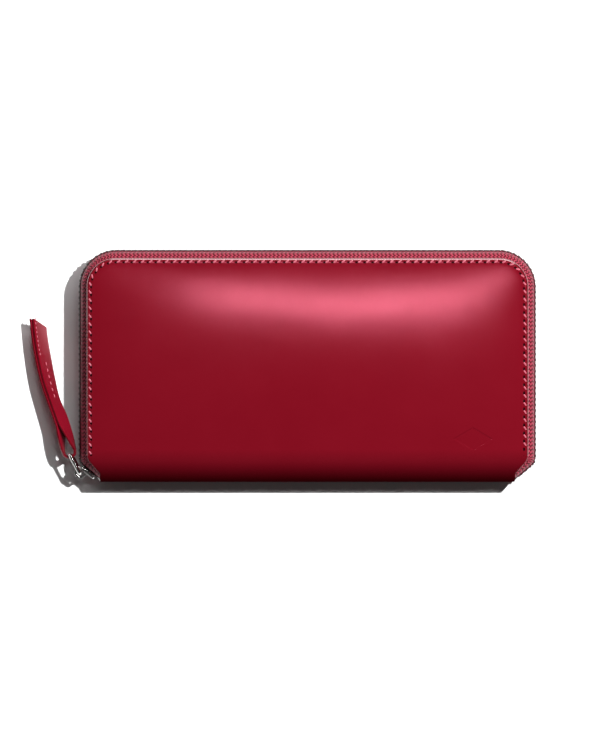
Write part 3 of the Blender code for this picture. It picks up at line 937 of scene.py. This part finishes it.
SLIDER_BASE = Vector((-HALF_LENGTH, TURN_Y, MID)) - LEFT_ALONG * 4.3 * MM
BAIL_PIVOT = Vector(JOINTS["bail_hinge"]["pos_m"])
BAIL_FAR = Vector(JOINTS["strap_hinge"]["pos_m"])
# Half of a slider plate seen from outside, as (along towards the nose, half width), in mm
PLATE_SHAPE = [(-5.0, 0.0), (-5.0, 1.5), (-4.6, 2.6), (-3.6, 3.0), (-1.5, 3.2), (0.2, 3.8),
               (1.6, 4.0), (2.8, 3.7), (3.3, 2.9), (3.1, 1.6), (2.6, 0.9), (2.4, 0.0)]


def slider_frame(along, out, base):
    """A matrix from a slider's own directions (along, outwards, up) to the wallet's."""
    return Matrix((
        (along.x, out.x, 0, base.x),
        (along.y, out.y, 0, base.y),
        (along.z, out.z, 1, base.z),
        (0, 0, 0, 1),
    ))


def plate_solid(outline, low, high, bevel):
    """A slider plate between two depths, with rounded rims."""
    build = bmesh.new()
    rings = [[build.verts.new((a, depth, z)) for a, z in outline] for depth in (low, high)]
    rims = [edge for face in join_rings(build, rings) for edge in face.edges]
    bmesh.ops.bevel(build, geom=rims, offset=bevel, segments=3, affect="EDGES", profile=0.5)
    build.verts.index_update()
    return build


def box_solid(a, b, z, bevel):
    build = rounded_block((a[1] - a[0], b[1] - b[0], z[1] - z[0]), bevel)
    middle = ((a[0] + a[1]) / 2, (b[0] + b[1]) / 2, (z[0] + z[1]) / 2)
    bmesh.ops.translate(build, vec=middle, verts=build.verts)
    return build


def arch_solid(reach, foot, top, half, thickness):
    """The slider's bridge: a bent strip standing on its outer plate, waisted in the middle."""
    build = bmesh.new()
    steps, squash = 18, 0.55
    rings = []
    for i in range(steps + 1):
        angle = math.pi * i / steps
        a = -math.copysign(abs(math.cos(angle)) ** squash, math.cos(angle))
        b = math.sin(angle) ** squash
        wide = half * (1.0 - 0.25 * b)
        corners = ((0.0, wide), (0.0, -wide), (-thickness, -wide * 0.92), (-thickness, wide * 0.92))
        rings.append([
            build.verts.new((a * (reach + grow), foot + b * (top - foot + grow), z))
            for grow, z in corners
        ])
    join_rings(build, rings)
    rims = [e for e in build.edges if len(e.link_faces) == 2 and e.calc_face_angle() > 1.0]
    bmesh.ops.bevel(build, geom=rims, offset=0.14 * MM, segments=2, affect="EDGES", profile=0.5)
    build.verts.index_update()
    return build


def rounded_outline(points, rounds=2):
    """Cuts the corners of a closed outline until it is smooth."""
    for _ in range(rounds):
        cut = []
        for (ax, ay), (bx, by) in zip(points, points[1:] + points[:1]):
            cut += [(ax * 0.75 + bx * 0.25, ay * 0.75 + by * 0.25),
                    (ax * 0.25 + bx * 0.75, ay * 0.25 + by * 0.75)]
        points = cut
    return points


def slider_body(name, look, frame_matrix, long, wide, deep, bridge_size):
    """A zip slider: two plates, rims, a post and a bridge. long, wide and deep scale its plates."""
    half = [(a * MM * long, z * MM * wide) for a, z in PLATE_SHAPE]
    outline = rounded_outline(half + [(a, -z) for a, z in reversed(half[1:-1])])
    long, wide, deep = long * MM, wide * MM, deep * MM
    body = plate_solid(outline, 0.4 * deep, 1.35 * deep, 0.28 * deep)
    merge(body, plate_solid(outline, -3.4 * deep, -2.45 * deep, 0.28 * deep))
    post = ((1.0 * long, 2.6 * long), (-2.7 * deep, 0.6 * deep), (-0.24 * wide, 0.24 * wide))
    merge(body, box_solid(*post, 0.05 * MM))
    for side in (-1, 1):
        for low, high in ((0.0, 0.6), (-2.7, -2.1)):
            rail = sorted((side * 3.0 * wide, side * 3.75 * wide))
            merge(body, box_solid((-3.6 * long, 2.4 * long), (low * deep, high * deep), rail,
                                  0.15 * deep))
    bridge = arch_solid(*(value * MM for value in bridge_size))
    bmesh.ops.translate(bridge, vec=(bridge_size[0] * 0.44 * MM, 0, 0), verts=bridge.verts)
    slider = new_object(name, merge(body, bridge), look)
    slider.data.transform(frame_matrix)
    return smooth(face_out(slider), 40)


def make_slider(looks):
    place = slider_frame(LEFT_ALONG, LEFT_OUT, SLIDER_BASE)
    slider = slider_body("main_slider", looks["nickel"], place, 1.0, 1.0, 1.0,
                         (2.5, 1.2, 5.0, 1.9, 0.95))
    attach(slider, "zip_metal", "zip_slider_body", "zip_slider")


def make_bail(looks):
    """A rounded wire loop standing on edge."""
    radius, corner, half = 0.78 * MM, 1.8 * MM, 4.8 * MM
    reach = (BAIL_FAR - BAIL_PIVOT).length
    along = (BAIL_FAR - BAIL_PIVOT).normalized()
    centres = [(reach - corner, half - corner, 90), (reach - corner, corner - half, 0),
               (corner, corner - half, -90), (corner, half - corner, 180)]
    line = []
    for u, v, start in centres:
        line += arc((u, v), corner, start, start - 90, 10)
    bail = wire_loop("wire_bail", BAIL_PIVOT, along, along.cross(Z), line, radius, 14,
                     looks["nickel"])
    attach(bail, "zip_metal", "zip_bail", "pull_bail")


# The strap's middle line: x, y, height, half width, share of the full lean
STRAP_ROUTE = [
    (-101.6, -36.7, 13.0, 3.0, 0.0),
    (-102.4, -33.8, 13.0, 3.3, 0.35),
    (-103.6, -29.0, 12.4, 3.8, 0.75),
    (-105.2, -23.3, 11.4, 4.2, 1.0),
    (-108.6, -14.7, 9.8, 4.3, 0.85),
    (-111.1, -6.2, 8.3, 4.8, 0.95),
    (-113.0, 2.3, 7.0, 5.0, 1.0),
    (-114.6, 11.0, 6.0, 5.0, 1.0),
    (-115.7, 20.3, 5.4, 5.0, 1.0),
]
STRAP_COLUMNS = [-1, -0.97, -0.9, -0.75, -0.45, 0, 0.45, 0.75, 0.9, 0.97, 1]
STRAP_LEAN = math.radians(28)
PLY = 1.05 * MM
EYE = 2.45 * MM
TIP_CUT = 4.4 * MM
TIP_LENGTH = 12 * MM
# Its two lines of stitches as (start and end in mm, place across the strap, pitch in mm)
STRAP_SEAMS = [(25, 42, 0.1, 2.9), (44, 60, 0.78, 1.9)]


def curve_through(rows, steps):
    """Points on a smooth curve through rows of numbers."""
    padded = [rows[0]] + rows + [rows[-1]]
    made = []
    for i in range(1, len(padded) - 2):
        for step in range(steps):
            t = step / steps
            made.append([
                0.5 * (2 * b + (c - a) * t + (2 * a - 5 * b + 4 * c - d) * t * t
                       + (3 * b - a - 3 * c + d) * t ** 3)
                for a, b, c, d in zip(*padded[i - 1:i + 3])
            ])
    return made + [list(rows[-1])]


def strap_rows():
    """Stations along the strap: place, its directions, half width, lean and length so far."""
    rows = curve_through([[v * MM for v in row[:4]] + [row[4]] for row in STRAP_ROUTE], 6)
    made, run = [], 0.0
    for i, row in enumerate(rows):
        here = Vector(row[:3])
        ahead = Vector(rows[min(i + 1, len(rows) - 1)][:3]) - Vector(rows[max(i - 1, 0)][:3])
        along = Vector((ahead.x, ahead.y, 0)).normalized()
        left = Vector((-along.y, along.x, 0))
        if i:
            run += (here - Vector(rows[i - 1][:3])).length
        made.append({"at": here, "along": along, "left": left, "half": row[3],
                     "lean": STRAP_LEAN * row[4], "run": run})
    return made


def ply_gap(run):
    """How far each ply is from the strap's middle line: open near the wire, then pressed flat."""
    shut = PLY / 2 + 0.18 * MM
    swell = 0.5 * MM * math.exp(-((run - 7.5 * MM) / (4.0 * MM)) ** 2)
    return shut + (EYE - shut) * math.exp(-(run / (6.5 * MM)) ** 2) + swell


def strap_point(station, offset, across):
    """A point of the strap: offset to the left of its middle, across from -1 below to 1 above."""
    lean = station["lean"]
    up = Z * math.cos(lean) + station["left"] * math.sin(lean)
    face = station["left"] * math.cos(lean) - Z * math.sin(lean)
    return station["at"] + face * offset + up * station["half"] * across


def make_strap(looks):
    """Two plies of one strip, folded round the bail."""
    rows = strap_rows()
    turns = 10
    tip_run = rows[-1]["run"]
    lines = [(row, -ply_gap(row["run"]), -1) for row in reversed(rows[1:])]
    lines += [(rows[0], None, math.radians(90 + 180 * i / turns)) for i in range(turns + 1)]
    lines += [(row, ply_gap(row["run"]), 1) for row in rows[1:]]
    outer, inner = [], []
    for row, offset, sign in lines:
        faces = ([], [])
        for column in STRAP_COLUMNS:
            thin = PLY / 2 * (1 - 0.35 * max(0.0, (abs(column) - 0.9) / 0.1))
            if offset is None:
                ray = row["left"] * -math.sin(sign) + row["along"] * math.cos(sign)
                middle = row["at"] + Z * row["half"] * column
                faces[0].append(middle + ray * (EYE + thin))
                faces[1].append(middle + ray * (EYE - thin))
                continue
            near_tip = step_up(row["run"], tip_run - TIP_LENGTH, tip_run)
            shift = row["along"] * -TIP_CUT * (1 - column) / 2 * near_tip
            faces[0].append(strap_point(row, offset + sign * thin, column) + shift)
            faces[1].append(strap_point(row, offset - sign * thin, column) + shift)
        outer.append(faces[0])
        inner.append(faces[1])
    strap = grid_solid("pull_strap_leather", outer, inner, looks["strap"], looks["edge"])
    attach(strap, "strap_leather", "zip_strap", "pull_strap")
    make_strap_stitches(rows, looks)


def make_strap_stitches(rows, looks):
    """A short line in the middle of the strap and a fine line along its upper edge."""
    places = []
    for start, end, column, pitch in STRAP_SEAMS:
        run = start * MM
        while run < end * MM:
            k = min(range(len(rows) - 1), key=lambda i: abs(rows[i]["run"] - run))
            row, along = rows[k], rows[k + 1]["at"] - rows[k]["at"]
            for sign in (-1, 1):
                spot = strap_point(row, sign * (ply_gap(run) + PLY / 2 + 0.10 * MM), column)
                face = (spot - strap_point(row, 0, column)).normalized()
                spot = spot + row["along"] * (run - row["run"])
                stretch = 0.62 * pitch * MM / STITCH_LENGTH
                places.append(stitch_frame(spot, along, face, stretch, 0.7))
            run += pitch * MM
    attach(sew("pull_strap_stitches", places, looks), "strap_leather", "zip_strap")


# ---------------------------------------------------------------- inside the covers

# Boards and linings as (inset from the zip's route, depth, thickness)
BOARD = (8.0 * MM, 1.5 * MM, 0.6 * MM)
LINING = (7.3 * MM, 2.4 * MM, 0.4 * MM)
PANEL_FOOT = -39 * MM
PANEL_CORNER = 8 * MM
POCKET_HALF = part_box("back_card_pocket_1")[1].x
POCKET_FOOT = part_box("back_card_pocket_1")[0].y
POCKET_TOPS = [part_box(f"back_card_pocket_{i}")[1].y for i in (1, 2, 3, 4)]
POCKET_DEPTHS = [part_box(f"back_card_pocket_{i}")[0].z for i in (1, 2, 3, 4)]
POCKET_SHEET = 0.4 * MM
NOTCH = (43.0 * MM, 12.0 * MM, 4.5 * MM)      # middle, half width, depth
SIDE_SEAM = 84.2 * MM
HEM = 4.6 * MM
SEW_PITCH = 3.2 * MM                             # of the threads inside the wallet
SEW_SIZE = (0.95, 0.8)                           # their length and thickness beside the cover's
# Distances below a card pocket's mouth at which its mesh has rows, in mm
POCKET_ROWS = [0, 0.1, 0.25, 0.5, 1.3, 1.55, 1.7, 1.85, 2.1, 4.1, 4.4, 4.7, 5.0, 6.5, 8.5, 11, 14]


def level(side, depth):
    """The height of a place so deep below a cover's outer face."""
    return MID + side * (MID - depth)


def layer(name, side, places, outer, inner, look, edge_look=None):
    """A thin layer under a cover, from rows of (x, y) and the depths of its two faces."""
    faces = [
        [[(x, y, level(side, depth(x, y, i))) for x, y in row] for i, row in enumerate(places)]
        for depth in (inner, outer)
    ]
    return grid_solid(name, *faces, look, edge_look)


def ripple(x, y):
    """Cloth never lies quite flat."""
    return 0.05 * MM * (math.sin(x * 310 + 2 * math.sin(y * 130)) + math.sin(y * 270 + x * 90))


def no_relief(x, y):
    return 0.0


def make_panel(word, side, kind, slot, sizes, look, relief):
    """A board or a lining, cut to the cover's shape."""
    inset, depth, sheet = sizes
    corner = MOUTH_Y - inset - PANEL_CORNER
    rows = spaced(PANEL_FOOT, corner, 3 * MM)
    rows += [corner + PANEL_CORNER * math.sin(math.pi / 2 * i / 14) for i in range(15)]
    shares = [2 * i / 90 - 1 for i in range(91)]
    places = [[(half_width(y, inset) * u, y) for u in shares] for y in rows]
    panel = layer(f"{word}_{kind}_panel", side, places, lambda x, y, i: depth,
                  lambda x, y, i: depth + sheet + relief(x, y), look)
    attach(panel, slot, f"{word}_cover", f"{word}_{kind}")


def pocket_top(index, x):
    """The mouth of a card pocket, with a thumb notch for each card."""
    middle, half, depth = NOTCH
    t = min(abs(abs(x) - middle) / half, 1.0)
    return POCKET_TOPS[index] - depth * (1 - t * t) ** 2


def pocket_depth(index, x, below):
    """How deep the inner face of a card pocket lies, so far below its mouth."""
    fold = 0.34 * MM * (1 - step_up(below, HEM - 0.4 * MM, HEM + 0.3 * MM))
    crease = 0.13 * MM * math.exp(-((below - 1.7 * MM) / (0.28 * MM)) ** 2)
    lip = 0.3 * MM * (1 - math.sqrt(1 - (1 - min(below / (0.45 * MM), 1.0)) ** 2))
    bulge = 0.22 * MM * math.exp(-((below - 7 * MM) / (4.5 * MM)) ** 2)
    bulge *= math.sin(math.pi * min(abs(x) / SIDE_SEAM, 1.0)) ** 2
    pull = sum(math.exp(-((x - seam) / (1.6 * MM)) ** 2) for seam in (-SIDE_SEAM, 0, SIDE_SEAM))
    relief = fold + bulge - crease - lip - 0.1 * MM * min(pull, 1)
    return POCKET_DEPTHS[index] + POCKET_SHEET + relief


def make_card_pockets(word, side, looks):
    """Four stepped leather strips, hemmed at the mouth and stitched down into eight pockets."""
    xs = [-POCKET_HALF, -POCKET_HALF + 0.3 * MM]
    xs += spaced(-POCKET_HALF + 1.2 * MM, POCKET_HALF - 1.2 * MM, 1.5 * MM)
    xs += [POCKET_HALF - 1.2 * MM, POCKET_HALF - 0.3 * MM, POCKET_HALF]
    below = [value * MM for value in reversed(POCKET_ROWS)]
    for index in range(4):
        places, depths = [], []
        for share in (0.0, 0.25, 0.5, 0.75):
            row = []
            for x in xs:
                reach = pocket_top(index, x) - below[0] - POCKET_FOOT
                row.append((x, POCKET_FOOT + share * reach))
            places.append(row)
            depths.append((1 - share) * 20 * MM + below[0])
        for value in below:
            places.append([(x, pocket_top(index, x) - value) for x in xs])
            depths.append(value)
        pocket = layer(f"{word}_card_strip_{index + 1}", side, places,
                       lambda x, y, i: POCKET_DEPTHS[index],
                       lambda x, y, i: pocket_depth(index, x, depths[i]),
                       looks["pocket"], looks["edge"])
        attach(pocket, "pocket_leather", f"{word}_cover", f"{word}_card_pocket_{index + 1}")
    stitches = []
    for seam in (-SIDE_SEAM, 0.0, SIDE_SEAM):
        for y in spaced(POCKET_FOOT + 2 * MM, POCKET_TOPS[0] - 1 * MM, SEW_PITCH):
            index = sum(y < top - 0.8 * MM for top in POCKET_TOPS) - 1
            depth = pocket_depth(index, seam, POCKET_TOPS[index] - y) + 0.12 * MM
            spot = Vector((seam, y, level(side, depth)))
            stitches.append(stitch_frame(spot, Vector((0, 1, 0)), Z * -side, *SEW_SIZE))
    thread = sew(f"{word}_pocket_stitches", stitches, looks)
    attach(thread, "pocket_leather", f"{word}_cover")


# Section of a bill gusset as (distance from the middle, depth): a flange, then four leaves
GUSSET_LINE = [(86.7, 3.05), (88.6, 3.05), (89.25, 3.5), (89.4, 4.4), (89.3, 5.4), (88.6, 6.1),
               (85.0, 6.15), (81.3, 6.2), (80.75, 6.7), (81.3, 7.2), (85.0, 7.25), (88.7, 7.3),
               (89.25, 7.8), (88.7, 8.3), (85.0, 8.35), (81.3, 8.4), (80.75, 8.9), (81.3, 9.4),
               (84.0, 9.6), (85.8, 9.85)]
FOLD_HALF = 0.16 * MM                            # half the thickness of folded strips
GUSSET_SPAN = (-38.0 * MM, 30.0 * MM)            # from its foot to its mouth
GUSSET_WAVE = 0.08 * MM


def make_gussets(word, side, looks):
    """The folded leather at the two ends of a bill compartment."""
    rows = spaced(*GUSSET_SPAN, 4 * MM) + [GUSSET_SPAN[1]]
    for hand, end in (("left", -1), ("right", 1)):
        faces = []
        for face in two_sides(section(GUSSET_LINE), FOLD_HALF):
            wave = [GUSSET_WAVE * math.sin(y * 160 + end) for y in rows]
            faces.append([[(end * p.x, y, level(side, p.y + rise)) for p in face]
                          for y, rise in zip(rows, wave)])
        gusset = grid_solid(f"{word}_gusset_{hand}_fold", *faces, looks["pocket"], looks["edge"])
        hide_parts(f"{word}_gusset_{hand}")
        if side < 0:
            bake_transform(gusset)
        else:
            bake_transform(gusset)


CLOTH_DEPTHS = (1.9 * MM, 1.5 * MM)              # of its two faces, inside the spine's leather


def make_spine_lining(word, side, looks):
    """Half of the cloth inside the spine."""
    xs = [SPINE_HALF * (2 * i / 60 - 1) for i in range(61)]
    rows = spaced(0, STRAIGHT, 1 * MM) + spaced(STRAIGHT, PROFILE_FOOT, 0.9 * MM) + [PROFILE_FOOT]
    faces = ([], [])
    for s in rows:
        spot = cover_place(0, s, side, 0)
        way = inward(s, side, 0.4 * MM)
        for face, depth in zip(faces, CLOTH_DEPTHS):
            places = [(x, spot + way * (depth + ripple(x, s))) for x in xs]
            face.append([(x, place.y, place.z) for x, place in places])
    half = grid_solid(f"{word}_spine_cloth", *faces, looks["lining"])
    bend(half, "lining", word, side, "spine_lining")


# ---------------------------------------------------------------- coin pocket

WALL_LOW, WALL_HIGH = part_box("coin_wall_back")
COIN_ROW_LOW, COIN_ROW_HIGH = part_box("coin_tooth_row_back")
COIN_PIVOT = Vector(JOINTS["coin_pull_hinge"]["pos_m"])
COIN_TAPE_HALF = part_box("coin_tape_back")[1].x
COIN_PITCH = 1.9 * MM
COIN_TOOTH_SIZE = (1.05 * MM, 0.95 * MM, 1.25 * MM)
COIN_TOOTH_DEPTH = 12.12 * MM
COIN_SLIDER_Y = 31.0 * MM
# Section of a coin zip's tape as (y, depth)
COIN_TAPE_LINE = [(25.0, 10.95), (27.5, 10.95), (29.3, 10.98), (30.1, 11.15), (30.5, 11.6),
                  (30.6, 12.1), (30.6, 12.55)]
# Outline of the leaf that pulls the coin zip, from its hinge, in mm
LEAF_SHAPE = [(-13.0, -1.1), (-13.0, 1.1), (-11.5, 1.8), (-6.0, 1.5), (-3.6, 1.0),
              (-3.6, -1.0), (-6.0, -1.5), (-11.5, -1.8)]


def wall_depth(x, y):
    """How deep the outer face of a coin pocket wall lies; it swells a little in the middle."""
    u = min(abs(x) / WALL_HIGH.x, 1.0)
    v = min(max((y - WALL_LOW.y) / (WALL_HIGH.y - WALL_LOW.y), 0.0), 1.0)
    swell = 0.9 * MM * (1 - u ** 6) * (4 * v * (1 - v)) ** 0.8
    swell += 0.10 * MM * math.sin(x * 75 + 1) * math.sin(y * 90) * (1 - u ** 4)
    hem = 0.16 * MM * math.exp(-((WALL_HIGH.y - y - 2.2 * MM) / (1.9 * MM)) ** 4)
    groove = 0.12 * MM * math.exp(-((WALL_HIGH.y - y - 2.6 * MM) / (0.4 * MM)) ** 2)
    return WALL_LOW.z - swell - hem + groove


def make_coin_walls(word, side, looks):
    """One wall of the coin pocket, hemmed at its mouth, with the thread round it."""
    rows = spaced(WALL_LOW.y, WALL_HIGH.y - 5 * MM, 3 * MM)
    rows += spaced(WALL_HIGH.y - 5 * MM, WALL_HIGH.y, 0.4 * MM) + [WALL_HIGH.y]
    shares = [2 * i / 80 - 1 for i in range(81)]
    places = [[(WALL_HIGH.x * u, y) for u in shares] for y in rows]
    wall = layer(f"{word}_coin_panel", side, places, lambda x, y, i: wall_depth(x, y),
                 lambda x, y, i: wall_depth(x, y) + 0.5 * MM, looks["pocket"], looks["edge"])
    attach(wall, "pocket_leather", "coin_divider", f"coin_wall_{word}")
    seams = [(Vector((x, y, 0)), Vector((1, 0, 0)))
             for y in (WALL_HIGH.y - 2.6 * MM, WALL_LOW.y + 1.6 * MM)
             for x in spaced(-WALL_HIGH.x + 3 * MM, WALL_HIGH.x - 3 * MM, SEW_PITCH)]
    seams += [(Vector((end * (WALL_HIGH.x - 1.5 * MM), y, 0)), Vector((0, 1, 0)))
              for end in (-1, 1)
              for y in spaced(WALL_LOW.y + 4 * MM, WALL_HIGH.y - 5 * MM, SEW_PITCH)]
    stitches = []
    for place, along in seams:
        place.z = level(side, wall_depth(place.x, place.y) - 0.1 * MM)
        stitches.append(stitch_frame(place, along, Z * side, *SEW_SIZE))
    thread = sew(f"{word}_coin_stitches", stitches, looks)
    attach(thread, "pocket_leather", "coin_divider")


def make_coin_gusset(looks):
    """A strip folded inwards, round three sides of the coin pocket."""
    half, foot, mouth, corner = 84.0 * MM, -36.0 * MM, 28.0 * MM, 5.0 * MM
    fold, sheet = 3.2 * MM, 0.17 * MM
    line = [Vector((-half, mouth - (mouth - foot - corner) * i / 20, 0)) for i in range(20)]
    line += arc((-half + corner, foot + corner), corner, 180, 270, 8)
    line += [Vector((x, foot, 0)) for x in spaced(-half + corner, 0, 4 * MM)[1:]]
    line += [Vector((-p.x, p.y, 0)) for p in reversed(line)]
    heights = [-2.2, -1.9, -1.3, -0.6, 0, 0.6, 1.3, 1.9, 2.2]
    faces = ([], [])
    for place, along in divide(line, 2.5 * MM):
        way = Z.cross(along)
        for face, shift in zip(faces, (sheet, -sheet)):
            folds = [fold * (1 - abs(h) / heights[-1]) ** 1.2 + shift for h in heights]
            face.append([place + way * reach + Z * (MID + h * MM)
                         for reach, h in zip(folds, heights)])
    gusset = grid_solid("coin_gusset_fold", *faces, looks["pocket"], looks["edge"])
    attach(gusset, "pocket_leather", "coin_divider", "coin_gusset")


def make_coin_zip_half(word, side, looks):
    line = section(COIN_TAPE_LINE)
    xs = spaced(-COIN_TAPE_HALF, COIN_TAPE_HALF, 6 * MM) + [COIN_TAPE_HALF]
    inner, outer = two_sides(line, FOLD_HALF)
    faces = [[[(x, p.x, level(side, p.y)) for p in face] for x in xs] for face in (outer, inner)]
    tape = grid_solid(f"{word}_coin_tape", *faces, looks["tape"])
    paint_run(tape, [x for x in xs for _ in line] * 2, run_lengths(line) * len(xs) * 2)
    attach(tape, "zip_tape", "coin_divider", f"coin_tape_{word}")
    tooth = rounded_block(COIN_TOOTH_SIZE, 0.2 * MM)
    middle = (COIN_ROW_LOW.y + COIN_ROW_HIGH.y) / 2
    shift = COIN_PITCH / 2 if side > 0 else 0.0
    places = [Matrix.Translation((x + shift, middle, level(side, COIN_TOOTH_DEPTH)))
              for x in spaced(COIN_ROW_LOW.x + 0.6 * MM, COIN_ROW_HIGH.x - 1.6 * MM, COIN_PITCH)]
    teeth = copies(f"{word}_coin_teeth", tooth, places, looks["teeth"])
    attach(teeth, "zip_metal", "coin_divider", f"coin_tooth_row_{word}")


def make_coin_slider(looks):
    """The coin zip's small slider, with a wire ring and a leaf to pull it by."""
    along, across = Vector((1, 0, 0)), Vector((0, 1, 0))
    place = slider_frame(along, across, Vector((COIN_PIVOT.x, COIN_SLIDER_Y, MID)))
    slider = slider_body("coin_zip_slider", looks["nickel"], place, 0.8, 0.47, 0.6,
                         (1.7, 0.7, 3.3, 0.8, 0.5))
    attach(slider, "zip_metal", "coin_slider_body", "coin_slider")
    corner, half, reach = 0.7 * MM, 1.4 * MM, 4.0 * MM
    centres = [(-corner, half - corner, 0), (-corner, corner - half, 270),
               (corner - reach, corner - half, 180), (corner - reach, half - corner, 90)]
    line = []
    for u, v, start in centres:
        line += arc((u, v), corner, start + 90, start, 6)[:-1]
    ring = wire_loop("coin_pull_ring", COIN_PIVOT, along, across, line, 0.4 * MM, 10,
                     looks["nickel"])
    shape = rounded_outline([(a * MM, z * MM) for a, z in LEAF_SHAPE])
    build = plate_solid(shape, -0.4 * MM, 0.4 * MM, 0.2 * MM)
    leaf = new_object("coin_pull_leaf", build, looks["nickel"])
    leaf.data.transform(Matrix.Translation(COIN_PIVOT))
    smooth(face_out(leaf), 40)
    for piece in (ring, leaf):
        attach(piece, "zip_metal", "coin_tab", "coin_pull")


CLIP_SIZE = (1.6 * MM, 2.6 * MM)
CLIP_TURN = math.radians(-40)


def make_stops(looks):
    """The clips that end the two tooth rows, and the one that joins them at the start."""
    for name in ("zip_start_stop", "front_end_stop", "back_end_stop"):
        low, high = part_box(name)
        middle = (low + high) / 2
        end = math.copysign(1, middle.x)
        build = rounded_block((*CLIP_SIZE, high.z - low.z), 0.35 * MM, 3)
        clip = new_object(f"{name}_clip", build, looks["nickel"])
        turn = Matrix.Rotation(CLIP_TURN * end, 4, "Z")
        clip.data.transform(Matrix.Translation(middle) @ turn)
        smooth(clip, 40)
        word = name.split("_")[0]
        if word == "zip":
            attach(clip, "zip_metal", "coin_divider", name)
        else:
            bend(clip, "zip_metal", word, 1 if word == "front" else -1, name)


# ---------------------------------------------------------------- assembly

make_camera()
LOOKS = make_looks()
for word, side, puff in (("front", 1, 1.0), ("back", -1, 0.0)):
    make_cover_leather(word, side, puff, LOOKS)
    make_cover_stitches(word, side, puff, LOOKS)
    make_tape(word, side, LOOKS)
    make_teeth(word, side, LOOKS)
    make_bead(word, side, LOOKS)
    make_panel(word, side, "board", "stiffener", BOARD, LOOKS["board"], no_relief)
    make_panel(word, side, "lining", "lining", LINING, LOOKS["lining"], ripple)
    make_card_pockets(word, side, LOOKS)
    make_gussets(word, side, LOOKS)
    make_spine_lining(word, side, LOOKS)
    make_coin_walls(word, side, LOOKS)
    make_coin_zip_half(word, side, LOOKS)
make_coin_gusset(LOOKS)
make_coin_slider(LOOKS)
make_stops(LOOKS)
make_slider(LOOKS)
make_bail(LOOKS)
make_strap(LOOKS)
make_stage()
